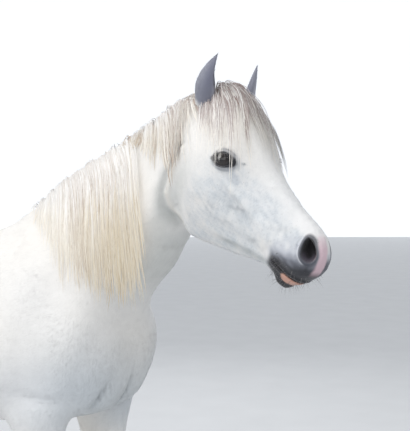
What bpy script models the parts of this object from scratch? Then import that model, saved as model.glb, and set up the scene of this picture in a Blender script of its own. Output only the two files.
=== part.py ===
"""A still, life-size model of a light grey riding pony that stands square, neck raised
and head turned to its right.

Blender 4.5, metres, +Z up, the pony's trunk faces +X and its left side is +Y.  The flesh
is modelled straight as lofts and muscle masses, bent at the neck, fused into one form and
then parted with thin cuts.  Ears, eyes, hooves, mane, forelock and tail are fitted to it.
"""

import math

import bmesh
import bpy
import numpy as np
from mathutils import Matrix, Vector

# ---------------------------------------------------------------- driving dimensions
GAP = 0.0003                 # clearance between neighbouring solids
VOXEL = 0.007                # grid of the fused form
FUSE_SMOOTHING = 60          # passes that soften the joins of the fused form
HEAD_TRIANGLES = 1350        # budget of the fused form's head
BODY_TRIANGLES = 1650        # and of the rest of it
RING_POINTS = 28             # points round a section of the flesh
HORN_POINTS = 18             # and round a hoof or the tail
SPACING = {"trunk": 0.050, "neck": 0.045, "head": 0.022, "leg": 0.035, "jowls": 0.050,
           "mane": 0.060, "forelock": 0.020, "tail": 0.090}    # between lofted sections

DETAIL_SOFTNESS = 0.16       # share of the softening that head and lower legs get
SOFT_HEIGHTS = (0.62, 0.87)  # below the first a leg keeps its detail, above the second none
SOFT_LENGTHS = (0.70, 0.58)  # the same along x, for the head
STRIDE_HEIGHTS = (1.00, 0.50)    # a leg's step grows from none to all between these

# the neck bends to the right between these two stations of the straight model
BEND_START = 0.08
BEND_END = 0.60
HEAD_TURN = math.radians(25)

# the head's own frame: x from the poll to the lips, z towards the face line
POLL = Vector((0.694, 0.0, 1.720))
HEAD_PITCH = math.radians(44)
HEAD_ROLL = math.radians(-1)

EYE_RADIUS = 0.0230
EYE_PLACE = Vector((0.177, 0.0770, -0.070))    # centre of the eyeball, left side
MUZZLE_CUT = 0.425

EAR_LENGTH = 0.106
EAR_WIDTH = 0.029
EAR_WALL = 0.0045
EAR_TILT = 22                # degrees that it leans back from the face line
EAR_SPREAD = 9               # degrees that it leans outwards
EAR_TWIST = -32              # degrees that the opening turns towards the other ear
EAR_BASE = Vector((0.004, 0.062, -0.008))

NECK_CUT = ((-0.015, 1.500), (0.405, 1.035))   # x, z where neck and trunk part
FORE_CUTS = (0.765, 0.385)   # heights where trunk, forearm and cannon part
HIND_CUTS = (0.830, 0.490)

CORONET = 0.054              # height of the hoof's top edge at the middle of the foot
CORONET_SLOPE = 0.38         # its rise per length towards the toe
CORONET_HALF_LENGTH = 0.0435
CORONET_HALF_WIDTH = 0.0415
TOE_ANGLE = math.radians(52)
SOLE_HALF_WIDTH = 0.057
HEEL_LENGTH = 0.040

MANE_DEPTH = 0.018
FORELOCK_DEPTH = 0.012

# Trunk stations: x, top, bottom, half width, narrowing of the top, squareness
TRUNK = [
    (0.316, 1.050, 0.940, 0.070, 0.00, 0.95),
    (0.294, 1.150, 0.880, 0.138, 0.05, 0.88),
    (0.255, 1.270, 0.832, 0.180, 0.18, 0.86),
    (0.150, 1.370, 0.800, 0.204, 0.30, 0.88),
    (0.030, 1.425, 0.782, 0.216, 0.42, 0.90),
    (-0.090, 1.380, 0.772, 0.232, 0.38, 0.92),
    (-0.230, 1.337, 0.770, 0.254, 0.22, 0.92),
    (-0.400, 1.331, 0.782, 0.268, 0.08, 0.92),
    (-0.560, 1.356, 0.820, 0.262, 0.04, 0.92),
    (-0.690, 1.386, 0.868, 0.248, 0.02, 0.92),
    (-0.810, 1.388, 0.920, 0.236, 0.00, 0.94),
    (-0.910, 1.350, 0.968, 0.208, 0.02, 0.96),
    (-0.985, 1.285, 1.010, 0.155, 0.02, 1.00),
    (-1.025, 1.215, 1.060, 0.080, 0.00, 1.00),
]

# Neck stations: crest x, z, underline x, z, half width, narrowing of the top
NECK = [
    (-0.060, 1.410, 0.225, 0.960, 0.150, 0.42),
    (0.030, 1.450, 0.296, 1.060, 0.150, 0.44),
    (0.115, 1.515, 0.335, 1.130, 0.134, 0.44),
    (0.210, 1.566, 0.389, 1.188, 0.117, 0.42),
    (0.310, 1.606, 0.448, 1.240, 0.105, 0.38),
    (0.410, 1.646, 0.490, 1.296, 0.097, 0.34),
    (0.500, 1.684, 0.528, 1.352, 0.091, 0.28),
    (0.590, 1.714, 0.566, 1.409, 0.087, 0.20),
    (0.675, 1.722, 0.616, 1.461, 0.080, 0.12),
]

# Head stations: x, face line z, jaw line z, half widths high, middle and low
HEAD = [
    (-0.035, -0.035, -0.130, 0.045, 0.055, 0.046),
    (0.005, -0.002, -0.200, 0.062, 0.081, 0.068),
    (0.055, 0.014, -0.255, 0.072, 0.093, 0.078),
    (0.110, 0.022, -0.302, 0.080, 0.098, 0.078),
    (0.160, 0.018, -0.337, 0.086, 0.098, 0.070),
    (0.210, 0.002, -0.326, 0.076, 0.092, 0.064),
    (0.260, -0.019, -0.299, 0.056, 0.080, 0.054),
    (0.310, -0.029, -0.266, 0.044, 0.068, 0.046),
    (0.360, -0.033, -0.233, 0.037, 0.058, 0.040),
    (0.405, -0.034, -0.208, 0.034, 0.051, 0.036),
    (0.450, -0.031, -0.198, 0.035, 0.050, 0.035),
    (0.480, -0.035, -0.200, 0.036, 0.049, 0.033),
    (0.502, -0.047, -0.182, 0.034, 0.045, 0.028),
    (0.518, -0.064, -0.150, 0.028, 0.036, 0.021),
    (0.529, -0.086, -0.122, 0.016, 0.022, 0.014),
]

# Leg stations: z, x, y, half length, half width
FORELEG = [
    (1.050, 0.130, 0.130, 0.120, 0.050),
    (0.950, 0.118, 0.148, 0.122, 0.062),
    (0.860, 0.106, 0.152, 0.118, 0.062),
    (0.770, 0.103, 0.150, 0.090, 0.055),
    (0.660, 0.103, 0.147, 0.063, 0.045),
    (0.550, 0.102, 0.145, 0.046, 0.036),
    (0.480, 0.105, 0.144, 0.045, 0.040),
    (0.435, 0.108, 0.144, 0.046, 0.042),
    (0.390, 0.104, 0.144, 0.039, 0.037),
    (0.340, 0.098, 0.144, 0.033, 0.025),
    (0.270, 0.097, 0.144, 0.031, 0.022),
    (0.222, 0.096, 0.144, 0.035, 0.026),
    (0.190, 0.099, 0.144, 0.038, 0.031),
    (0.155, 0.112, 0.144, 0.030, 0.027),
    (0.125, 0.126, 0.144, 0.030, 0.028),
    (0.095, 0.138, 0.144, 0.039, 0.038),
    (0.065, 0.148, 0.144, 0.043, 0.042),
    (0.000, 0.164, 0.144, 0.045, 0.043),
]
HINDLEG = [
    (1.260, -0.800, 0.105, 0.150, 0.080),
    (1.150, -0.820, 0.128, 0.190, 0.096),
    (1.040, -0.805, 0.138, 0.205, 0.096),
    (0.940, -0.780, 0.142, 0.190, 0.086),
    (0.860, -0.785, 0.142, 0.150, 0.074),
    (0.780, -0.825, 0.138, 0.112, 0.060),
    (0.700, -0.868, 0.134, 0.084, 0.048),
    (0.630, -0.905, 0.131, 0.066, 0.038),
    (0.575, -0.935, 0.129, 0.066, 0.036),
    (0.520, -0.938, 0.128, 0.058, 0.039),
    (0.460, -0.930, 0.128, 0.046, 0.036),
    (0.400, -0.928, 0.128, 0.036, 0.027),
    (0.300, -0.930, 0.128, 0.033, 0.024),
    (0.235, -0.932, 0.128, 0.037, 0.027),
    (0.200, -0.928, 0.128, 0.039, 0.032),
    (0.162, -0.914, 0.128, 0.030, 0.027),
    (0.130, -0.900, 0.128, 0.030, 0.028),
    (0.098, -0.888, 0.128, 0.039, 0.038),
    (0.065, -0.878, 0.128, 0.043, 0.042),
    (0.000, -0.862, 0.128, 0.045, 0.043),
]
LEG_STEPS = {"right_fore": 0.0, "left_fore": 0.045, "right_hind": -0.02, "left_hind": 0.06}

# Muscles of one side: centre, radii, lean nose-down, height (below zero is a hollow)
BODY_MUSCLES = [
    ((0.235, 0.140, 1.050), (0.100, 0.100, 0.115), 0.5, 0.026),     # shoulder point
    ((0.105, 0.150, 1.210), (0.055, 0.100, 0.170), 0.42, 0.012),    # shoulder blade
    ((0.020, 0.190, 1.000), (0.110, 0.100, 0.110), -0.4, 0.016),    # upper arm
    ((0.320, 0.070, 1.000), (0.100, 0.070, 0.110), 0.0, 0.018),     # breast
    ((0.400, 0.000, 0.960), (0.090, 0.020, 0.130), 0.0, -0.010),    # groove of the breast
    ((0.118, 0.170, 0.780), (0.060, 0.060, 0.110), 0.1, 0.008),     # forearm
    ((-0.080, 0.200, 0.900), (0.060, 0.070, 0.070), 0.0, -0.008),   # behind the elbow
    ((-0.710, 0.130, 1.370), (0.160, 0.110, 0.100), 0.12, 0.012),   # croup
    ((-0.960, 0.110, 1.150), (0.100, 0.090, 0.170), -0.1, 0.012),   # buttock
    ((-0.690, 0.190, 1.000), (0.110, 0.090, 0.130), 0.35, 0.014),   # stifle
    ((-0.640, 0.190, 1.310), (0.055, 0.060, 0.050), 0.0, 0.010),    # point of hip
    ((-0.560, 0.220, 1.190), (0.070, 0.080, 0.080), 0.0, -0.010),   # flank hollow
    ((-0.810, 0.170, 0.800), (0.080, 0.060, 0.110), 0.5, 0.008),    # gaskin
    ((-1.012, 0.128, 0.590), (0.030, 0.040, 0.045), 0.2, 0.010),    # point of hock
    ((0.470, 0.080, 1.330), (0.220, 0.050, 0.030), -0.70, -0.007),  # jugular groove
]

# The same for the head, in the head's own frame
HEAD_MUSCLES = [
    ((0.125, 0.095, -0.190), (0.085, 0.060, 0.090), 0.0, 0.010),    # cheek
    ((0.170, 0.085, -0.012), (0.040, 0.030, 0.022), 0.1, 0.008),    # brow
    ((0.190, 0.098, -0.056), (0.036, 0.030, 0.030), 0.0, 0.006),    # eyelids
    ((0.115, 0.080, 0.000), (0.025, 0.030, 0.022), 0.0, -0.005),    # hollow above the eye
    ((0.275, 0.080, -0.115), (0.075, 0.030, 0.012), 0.12, 0.005),   # face crest
    ((0.320, 0.065, -0.150), (0.060, 0.030, 0.022), 0.1, -0.004),   # hollow of the cheek
    ((0.495, 0.050, -0.075), (0.028, 0.025, 0.030), -0.4, 0.009),   # nostril wing
    ((0.470, 0.040, -0.120), (0.045, 0.030, 0.022), 0.0, 0.005),    # upper lip
    ((0.515, 0.000, -0.110), (0.035, 0.040, 0.030), 0.0, 0.003),    # its middle
    ((0.465, 0.000, -0.192), (0.028, 0.030, 0.022), 0.0, 0.007),    # chin
]

# The line that parts head and neck, behind the jowls and out under the jaw: head x, z
JOWL_LINE = [(-0.070, 0.200), (-0.022, 0.020), (0.006, -0.100), (0.030, -0.190),
             (0.058, -0.255), (0.092, -0.305), (0.140, -0.360), (0.230, -0.460)]

# Mane columns of the straight model: x, lowest hair
MANE_TIPS = [(0.000, 1.400), (0.040, 1.300), (0.110, 1.230), (0.220, 1.190), (0.320, 1.165),
             (0.385, 1.190), (0.405, 1.400), (0.425, 1.600), (0.450, 1.520), (0.510, 1.460),
             (0.565, 1.520), (0.610, 1.640)]
MANE_TOP = 1.80              # the outline's top and its reach to the right clear the neck
MANE_REACH = 0.40
MANE_FAR_SIDE = 0.022        # how far the hair lies over the crest's other side

# Forelock columns in the head's frame: x, half width
FORELOCK = [(-0.020, 0.026), (0.030, 0.030), (0.070, 0.052), (0.120, 0.072), (0.165, 0.050)]

# Tail stations: x, z, half length, half width
TAIL = [
    (-0.985, 1.262, 0.024, 0.024),
    (-1.035, 1.252, 0.030, 0.030),
    (-1.085, 1.205, 0.036, 0.036),
    (-1.118, 1.110, 0.042, 0.044),
    (-1.135, 0.960, 0.048, 0.055),
    (-1.140, 0.780, 0.048, 0.060),
    (-1.138, 0.600, 0.042, 0.056),
    (-1.130, 0.440, 0.030, 0.040),
    (-1.120, 0.330, 0.012, 0.016),
]

COAT = (0.86, 0.85, 0.83)
GREY_SKIN = (0.30, 0.31, 0.34)
HAIR = (0.82, 0.78, 0.70)
HORN = (0.16, 0.15, 0.15)
EYE_DARK = (0.02, 0.015, 0.015)


# ---------------------------------------------------------------- small helpers
def clear_scene():
    for obj in list(bpy.data.objects):
        bpy.data.objects.remove(obj, do_unlink=True)


def new_collection(name, hidden=False):
    group = bpy.data.collections.new(name)
    bpy.context.scene.collection.children.link(group)
    group.hide_render = hidden
    return group


def material(name, colour, roughness):
    made = bpy.data.materials.new(name)
    made.use_nodes = True
    shader = made.node_tree.nodes["Principled BSDF"]
    shader.inputs["Base Color"].default_value = (*colour, 1.0)
    shader.inputs["Roughness"].default_value = roughness
    shader.inputs["Metallic"].default_value = 0.0
    return made


def resampled(table, spacing):
    """The stations of a table with smooth (Catmull-Rom) stations put in between them."""
    rows = np.array(table, float)
    ends = np.vstack([2 * rows[0] - rows[1], rows, 2 * rows[-1] - rows[-2]])
    out = []
    for i in range(len(rows) - 1):
        a, b, c, d = ends[i:i + 4]
        steps = max(1, round(float(np.linalg.norm((c - b)[:3])) / spacing))
        for k in range(steps):
            t = k / steps
            out.append(0.5 * (2 * b + (c - a) * t + (2 * a - 5 * b + 4 * c - d) * t * t
                              + (3 * b - a - 3 * c + d) * t ** 3))
    out.append(rows[-1])
    return out


def turned(points, start=BEND_START, end=BEND_END, turn=HEAD_TURN):
    """Bends straight-model points to the right about a vertical axis, between two stations."""
    p = np.array(points, float).reshape(-1, 3)
    radius = (end - start) / turn
    along = np.clip(p[:, 0], start, end) - start
    angle = along / radius
    beyond = p[:, 0] - start - along
    x = start + (radius + p[:, 1]) * np.sin(angle) + beyond * np.cos(angle)
    y = (radius + p[:, 1]) * np.cos(angle) - radius - beyond * np.sin(angle)
    return np.column_stack([x, y, p[:, 2]])


def head_matrix():
    """The head's own frame in the straight model."""
    pitch = Matrix.Rotation(HEAD_PITCH, 4, "Y")
    roll = Matrix.Rotation(HEAD_ROLL, 4, "X")
    return Matrix.Translation(POLL) @ pitch @ roll


def bent_head_frame():
    """The head's own frame with the neck bent."""
    origin = Vector(turned([POLL])[0])
    return Matrix.Translation(origin) @ Matrix.Rotation(-HEAD_TURN, 4, "Z") \
        @ Matrix.Translation(-POLL) @ head_matrix()


def from_head(points):
    """Head-frame points in the world, with the neck bent."""
    frame = bent_head_frame()
    return [frame @ Vector(p) for p in points]


def to_head(points):
    """World points in the bent head's frame."""
    inverse = np.array(bent_head_frame().inverted())
    return points @ inverse[:3, :3].T + inverse[:3, 3]


def mesh_object(name, points, faces, group):
    mesh = bpy.data.meshes.new(name)
    mesh.from_pydata([tuple(p) for p in points], [], faces)
    mesh.update()
    obj = bpy.data.objects.new(name, mesh)
    group.objects.link(obj)
    return obj


def loft(name, rings, group):
    """A closed skin through rings of equal point counts, with capped ends."""
    count = len(rings[0])
    points = [p for ring in rings for p in ring]
    faces = []
    for k in range(len(rings) - 1):
        for i in range(count):
            j = (i + 1) % count
            faces.append((k * count + i, k * count + j, (k + 1) * count + j, (k + 1) * count + i))
    faces.append(tuple(reversed(range(count))))
    faces.append(tuple(range((len(rings) - 1) * count, len(rings) * count)))
    obj = mesh_object(name, points, faces, group)
    face_outwards(obj)
    return obj


def face_outwards(obj):
    shape = bmesh.new()
    shape.from_mesh(obj.data)
    bmesh.ops.recalc_face_normals(shape, faces=shape.faces)
    if shape.calc_volume(signed=True) < 0:
        bmesh.ops.reverse_faces(shape, faces=shape.faces)
    shape.to_mesh(obj.data)
    shape.free()


def egg_ring(centre, across, up, half, rise, drop, taper, square, count=RING_POINTS):
    """A section that is round to square, narrower above its centre by taper."""
    ring = []
    for i in range(count):
        angle = 2 * math.pi * i / count
        c, s = math.cos(angle), math.sin(angle)
        wide = half * math.copysign(abs(c) ** square, c) * (1 - taper * s)
        high = math.copysign(abs(s) ** square, s) * (rise if s > 0 else drop)
        ring.append(centre + across * wide + up * high)
    return ring


def points_of(obj):
    return np.array([v.co for v in obj.data.vertices], float).reshape(-1, 3)


def move_points(obj, change):
    """Passes every vertex through change(points)."""
    moved = change(points_of(obj))
    obj.data.vertices.foreach_set("co", moved.astype(np.float32).ravel())
    obj.data.update()


def bake_modifiers(obj):
    """Replaces an object's mesh with its evaluated one."""
    bpy.context.view_layer.update()
    graph = bpy.context.evaluated_depsgraph_get()
    mesh = bpy.data.meshes.new_from_object(obj.evaluated_get(graph))
    obj.modifiers.clear()
    obj.data = mesh
    return obj


def joined(name, objects, group):
    """One object that holds the meshes of several."""
    shape = bmesh.new()
    for obj in objects:
        shape.from_mesh(obj.data)
        bpy.data.objects.remove(obj, do_unlink=True)
    mesh = bpy.data.meshes.new(name)
    shape.to_mesh(mesh)
    shape.free()
    made = bpy.data.objects.new(name, mesh)
    group.objects.link(made)
    return made


def copy_of(obj, name, group):
    twin = bpy.data.objects.new(name, obj.data.copy())
    group.objects.link(twin)
    return twin


def grown(obj, distance, group):
    """A copy swelled along its normals."""
    twin = copy_of(obj, obj.name + "_grown", group)
    swell = twin.modifiers.new("Swell", "DISPLACE")
    swell.strength = distance
    swell.mid_level = 0.0
    return bake_modifiers(twin)


def cut(obj, cutter, operation):
    """Applies an exact Boolean and keeps the largest body."""
    boolean(obj, cutter, operation)
    pieces = islands_of(obj)
    keep = max(pieces, key=len)
    drop_points(obj, [i for piece in pieces if piece is not keep for i in piece])
    return obj


def boolean(obj, cutter, operation):
    step = obj.modifiers.new(operation, "BOOLEAN")
    step.operation = operation
    step.object = cutter
    step.solver = "EXACT"
    bake_modifiers(obj)


def islands_of(obj):
    """The vertex numbers of each separate body of a mesh."""
    parent = list(range(len(obj.data.vertices)))

    def root(i):
        while parent[i] != i:
            parent[i] = parent[parent[i]]
            i = parent[i]
        return i

    for edge in obj.data.edges:
        parent[root(edge.vertices[0])] = root(edge.vertices[1])
    found = {}
    for i in range(len(parent)):
        found.setdefault(root(i), []).append(i)
    return list(found.values())


def drop_points(obj, chosen):
    shape = bmesh.new()
    shape.from_mesh(obj.data)
    shape.verts.ensure_lookup_table()
    bmesh.ops.delete(shape, geom=[shape.verts[i] for i in chosen], context="VERTS")
    shape.to_mesh(obj.data)
    shape.free()


def take_over(obj, group):
    """Moves an object that an operator added into a group."""
    for other in list(obj.users_collection):
        other.objects.unlink(obj)
    group.objects.link(obj)
    return obj


def slab(place, size, group):
    """A box of a given size at a given place and turn."""
    bpy.ops.mesh.primitive_cube_add(size=1.0)
    obj = take_over(bpy.context.active_object, group)
    obj.data.transform(place @ Matrix.Diagonal((*size, 1.0)))
    return obj


def sphere(name, centre, radius, group):
    bpy.ops.mesh.primitive_uv_sphere_add(segments=16, ring_count=10, radius=radius)
    obj = take_over(bpy.context.active_object, group)
    obj.name = name
    obj.data.transform(Matrix.Translation(centre))
    return obj


# ---------------------------------------------------------------- the flesh
def trunk_form(group):
    rings = []
    for x, top, bottom, half, taper, square in resampled(TRUNK, SPACING["trunk"]):
        middle = (top + bottom) / 2
        rings.append(egg_ring(Vector((x, 0, middle)), Vector((0, 1, 0)), Vector((0, 0, 1)),
                              half, top - middle, middle - bottom, taper, square))
    return loft("trunk_form", rings, group)


def neck_form(group):
    rings = []
    widest = 0.55
    for cx, cz, ux, uz, half, taper in resampled(NECK, SPACING["neck"]):
        crest, under = Vector((cx, 0, cz)), Vector((ux, 0, uz))
        middle = crest.lerp(under, widest)
        up = (crest - under).normalized()
        rings.append(egg_ring(middle, Vector((0, 1, 0)), up, half,
                              (crest - middle).length, (middle - under).length, taper, 0.94))
    return loft("neck_form", rings, group)


def head_ring(x, top, bottom, high, middle, low):
    """A head section: the width eases from the brow past the cheek to the jaw."""
    half = []
    steps = RING_POINTS // 2
    levels = (0.0, 0.28, 0.52, 0.80, 1.0)
    fullness = 0.62
    for i in range(steps + 1):
        t = i / steps
        z = top + (bottom - top) * (1 - math.cos(math.pi * t)) / 2
        width = float(np.interp(t, levels, (high, high, middle, low, low)))
        half.append((width * math.sin(math.pi * t) ** fullness if 0 < i < steps else 0.0, z))
    left = [Vector((x, y, z)) for y, z in half]
    right = [Vector((x, -y, z)) for y, z in half[1:-1]]
    return left + right[::-1]


def head_form(group):
    rings = [head_ring(*row) for row in resampled(HEAD, SPACING["head"])]
    obj = loft("head_form", rings, group)
    obj.data.transform(head_matrix())
    return obj


def leg_form(group, name, table, side, step):
    rings = []
    for z, x, y, length, width in resampled(table, SPACING["leg"]):
        centre = Vector((x + step * stride(z), side * y, z))
        rings.append([centre + Vector((length * math.cos(a), width * math.sin(a), 0.0))
                      for a in (2 * math.pi * i / RING_POINTS for i in range(RING_POINTS))])
    return loft(name, rings, group)


def stride(z):
    """The share of a leg's step at a height: none at the shoulder, all from the knee down."""
    none, full = STRIDE_HEIGHTS
    return min(1.0, max(0.0, (none - z) / (none - full)))


def soft_weights(obj):
    """Broad muscles are softened fully, the head and the lower legs only a little."""
    group = obj.vertex_groups.new(name="soft")
    points = points_of(obj)
    (low, high), (front, back) = SOFT_HEIGHTS, SOFT_LENGTHS
    limb = np.clip((points[:, 2] - low) / (high - low), 0.0, 1.0)
    head = np.clip((front - points[:, 0]) / (front - back), 0.0, 1.0)
    weight = DETAIL_SOFTNESS + (1 - DETAIL_SOFTNESS) * np.minimum(limb, head)
    levels = 20
    for step in range(1, levels + 1):
        chosen = np.nonzero(np.round(weight * levels) == step)[0]
        group.add(chosen.tolist(), step / levels, "REPLACE")


def swelled(obj, muscles, frame):
    """Raises and hollows the surface along its normals at each muscle, on both sides."""
    inverse = np.array(frame.inverted())
    turn = inverse[:3, :3]
    points = points_of(obj)
    normals = np.array([v.normal for v in obj.data.vertices], float)
    sideways = 0.6
    local = points @ turn.T + inverse[:3, 3]
    facing = normals @ turn.T
    lift = np.zeros(len(points))
    for centre, radii, lean, height in muscles:
        for side in (-1, 1):
            if side > 0 and centre[1] == 0.0:
                continue
            away = local - np.array(centre) * (1, side, 1)
            c, s = math.cos(lean), math.sin(lean)
            along = (away[:, 0] * c - away[:, 2] * s) / radii[0]
            upward = (away[:, 0] * s + away[:, 2] * c) / radii[2]
            bump = np.exp(-along ** 2 - (away[:, 1] / radii[1]) ** 2 - upward ** 2)
            outward = np.clip(sideways + facing[:, 1] * side, 0.0, 1.0) if centre[1] else 1.0
            lift += height * bump * outward
    move_points(obj, lambda p: p + normals * lift[:, None])


def fused_flesh(group):
    """All the flesh as one smooth form with the neck bent."""
    pieces = [trunk_form(group), neck_form(group), head_form(group)]
    for name, step in LEG_STEPS.items():
        side = -1 if name.startswith("right") else 1
        table = FORELEG if name.endswith("fore") else HINDLEG
        pieces.append(leg_form(group, name + "_form", table, side, step))
    whole = joined("flesh", pieces, group)
    mesh_grid = whole.modifiers.new("Fuse", "REMESH")
    mesh_grid.mode = "VOXEL"
    mesh_grid.voxel_size = VOXEL
    bake_modifiers(whole)
    soft_weights(whole)
    soften = whole.modifiers.new("Soften", "SMOOTH")
    soften.factor = 0.5
    soften.iterations = FUSE_SMOOTHING
    soften.vertex_group = "soft"
    bake_modifiers(whole)
    swelled(whole, BODY_MUSCLES, Matrix.Identity(4))
    swelled(whole, HEAD_MUSCLES, head_matrix())
    move_points(whole, turned)
    thinned(whole, lambda p: to_head(p)[:, 0] <= 0.0, BODY_TRIANGLES)
    thinned(whole, lambda p: to_head(p)[:, 0] > 0.0, HEAD_TRIANGLES)
    return whole


def thinned(obj, choose, triangles):
    """Thins the points that choose(points) picks to a budget and leaves the rest alone."""
    chosen = choose(points_of(obj))
    group = obj.vertex_groups.new(name="thinned")
    group.add(np.nonzero(chosen)[0].tolist(), 1.0, "REPLACE")
    obj.data.calc_loop_triangles()
    corners = np.array([t.vertices for t in obj.data.loop_triangles])
    others = int((~chosen[corners]).any(axis=1).sum())
    thin = obj.modifiers.new("Thin", "DECIMATE")
    thin.vertex_group = group.name
    thin.vertex_group_factor = 1000.0    # the most, which shuts out the points left alone
    thin.ratio = (others + triangles) / len(corners)
    bake_modifiers(obj)
    obj.vertex_groups.clear()


# ---------------------------------------------------------------- parting the flesh
def jowl_slit(group):
    """A thin curved wall behind the jowls, in the bent head's frame."""
    half_width = 0.22
    line = resampled(JOWL_LINE, SPACING["jowls"])
    rings = []
    for i, at in enumerate(line):
        ahead = line[min(i + 1, len(line) - 1)] - line[max(i - 1, 0)]
        across = np.array((-ahead[1], ahead[0])) / np.linalg.norm(ahead) * GAP / 2
        rings.append([Vector((at[0] + k * across[0], y * half_width, at[1] + k * across[1]))
                      for k, y in ((-1, -1), (1, -1), (1, 1), (-1, 1))])
    obj = loft("jowl_slit", rings, group)
    obj.data.transform(bent_head_frame())
    return obj


def flesh_slits(group):
    """Thin walls where the flesh parts into its nodes."""
    muzzle_size, neck_size = (GAP, 0.30, 0.40), (GAP, 0.60, 0.90)
    leg_size, foot_size = (0.34, 0.30, GAP), (0.20, 0.14, GAP)
    slits = [jowl_slit(group)]
    muzzle = bent_head_frame() @ Matrix.Translation((MUZZLE_CUT, 0, -muzzle_size[2] / 4))
    slits.append(slab(muzzle, muzzle_size, group))
    (x0, z0), (x1, z1) = NECK_CUT
    slope = math.atan2(x1 - x0, z0 - z1)
    base = Matrix.Translation(((x0 + x1) / 2, 0, (z0 + z1) / 2)) @ Matrix.Rotation(-slope, 4, "Y")
    slits.append(slab(base, neck_size, group))
    for name, step in LEG_STEPS.items():
        side = -1 if name.startswith("right") else 1
        fore = name.endswith("fore")
        for z in FORE_CUTS if fore else HIND_CUTS:
            x, y = leg_point(name, z)
            y = side * (leg_size[1] + GAP) / 2
            slits.append(slab(Matrix.Translation((x, y, z)), leg_size, group))
        x, y = leg_point(name, CORONET)
        tilt = Matrix.Rotation(-math.atan(CORONET_SLOPE), 4, "Y")
        place = Matrix.Translation((x, y, CORONET)) @ tilt
        slits.append(slab(place, foot_size, group))
    return joined("slits", slits, group)


def leg_point(name, z):
    """The x and y of a leg's middle at a height."""
    table = np.array(FORELEG if name.endswith("fore") else HINDLEG)[::-1]
    x = np.interp(z, table[:, 0], table[:, 1]) + LEG_STEPS[name] * stride(z)
    y = np.interp(z, table[:, 0], table[:, 2])
    return float(x), float(y) * (-1 if name.startswith("right") else 1)


def parted_flesh(flesh, group, workshop):
    """One object for each piece between the slits.  What is below the coronets is dropped."""
    middles = {
        "head": from_head([(0.20, 0, -0.13)])[0],
        "muzzle": from_head([(0.49, 0, -0.12)])[0],
        "neck": turned([(0.36, 0, 1.40)])[0],
        "trunk": (-0.33, 0.0, 1.08),
    }
    for name in LEG_STEPS:
        cuts = FORE_CUTS if name.endswith("fore") else HIND_CUTS
        for part, z in (("upper", sum(cuts) / 2), ("lower", (cuts[1] + CORONET) / 2),
                        ("foot", CORONET / 2)):
            middles[name + "_" + part] = (*leg_point(name, z), z)
    whole = copy_of(flesh, "parted", workshop)
    boolean(whole, flesh_slits(workshop), "DIFFERENCE")
    places = points_of(whole)
    pieces = {}
    for island in islands_of(whole):
        low, high = places[island].min(axis=0), places[island].max(axis=0)
        near = min(middles, key=lambda n: np.linalg.norm((low + high) / 2 - np.array(middles[n])))
        if len(island) > len(pieces.get(near, [])):
            pieces[near] = island
    made = {}
    everything = set(range(len(places)))
    for name, island in pieces.items():
        if name.endswith("foot"):
            continue
        made[name] = copy_of(whole, name, group)
        drop_points(made[name], sorted(everything - set(island)))
    return made


# ---------------------------------------------------------------- the fitted pieces
def eye_centre(side):
    return Vector(from_head([(EYE_PLACE.x, side * EYE_PLACE.y, EYE_PLACE.z)])[0])


def ear(name, side, group):
    """A pricked ear: a leaf-shaped shell, open to the front and a little outward."""
    rows, arc = 8, 8
    sunk = 0.040                 # length of its root below the base
    bow, tip_in = 0.012, 0.014   # how far its middle bends back and its tip bends in
    thinnest = 0.0030, 0.0012    # outer and inner radius at the tip
    place = (Matrix.Translation(EAR_BASE)
             @ Matrix.Rotation(math.radians(-EAR_TILT), 4, "Y")
             @ Matrix.Rotation(math.radians(-EAR_SPREAD), 4, "X")
             @ Matrix.Rotation(math.radians(EAR_TWIST), 4, "Z"))
    rings = []
    for k in range(rows + 1):
        t = k / rows
        leaf = math.sin(math.pi * (0.20 + 0.80 * t)) ** 0.75 * (1 - 0.12 * t)
        outer = max(EAR_WIDTH * leaf, thinnest[0])
        inner = max(outer - EAR_WALL, thinnest[1])
        opening = math.radians(60 + 75 * t)
        height = -sunk + (EAR_LENGTH + sunk) * t
        back = bow * math.sin(math.pi * t)
        ring = []
        for radius, order in ((outer, 1), (inner, -1)):
            for i in range(arc + 1)[::order]:
                a = -math.pi + opening / 2 + (2 * math.pi - opening) * i / arc
                p = place @ Vector((-back - radius * math.cos(a),
                                    radius * math.sin(a) - tip_in * t ** 3, height))
                ring.append((p.x, side * p.y, p.z))
        rings.append([Vector(p) for p in from_head(ring)])
    return loft(name, rings, group)


def hoof(name, leg, group):
    """A hoof from the sloped coronet down to its flat sole."""
    x, y = leg_point(leg, CORONET)
    toe_height = CORONET + CORONET_SLOPE * CORONET_HALF_LENGTH
    toe = CORONET_HALF_LENGTH + toe_height / math.tan(TOE_ANGLE)
    bevel = 0.003
    rings = []
    for down, inward in ((0.0, 0.0), (0.25, 0.0), (0.6, 0.0), (0.94, 0.0), (1.0, bevel)):
        ring = []
        for i in range(HORN_POINTS):
            angle = 2 * math.pi * i / HORN_POINTS
            c, s = math.cos(angle), math.sin(angle)
            reach = toe if c > 0 else HEEL_LENGTH
            long = CORONET_HALF_LENGTH + (reach - CORONET_HALF_LENGTH) * down - inward
            wide = CORONET_HALF_WIDTH + (SOLE_HALF_WIDTH - CORONET_HALF_WIDTH) * down - inward
            top = CORONET - GAP / 2 + CORONET_SLOPE * CORONET_HALF_LENGTH * c
            ring.append(Vector((x + c * long, y + s * wide, top * (1 - down))))
        rings.append(ring)
    return loft(name, rings, group)


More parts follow.
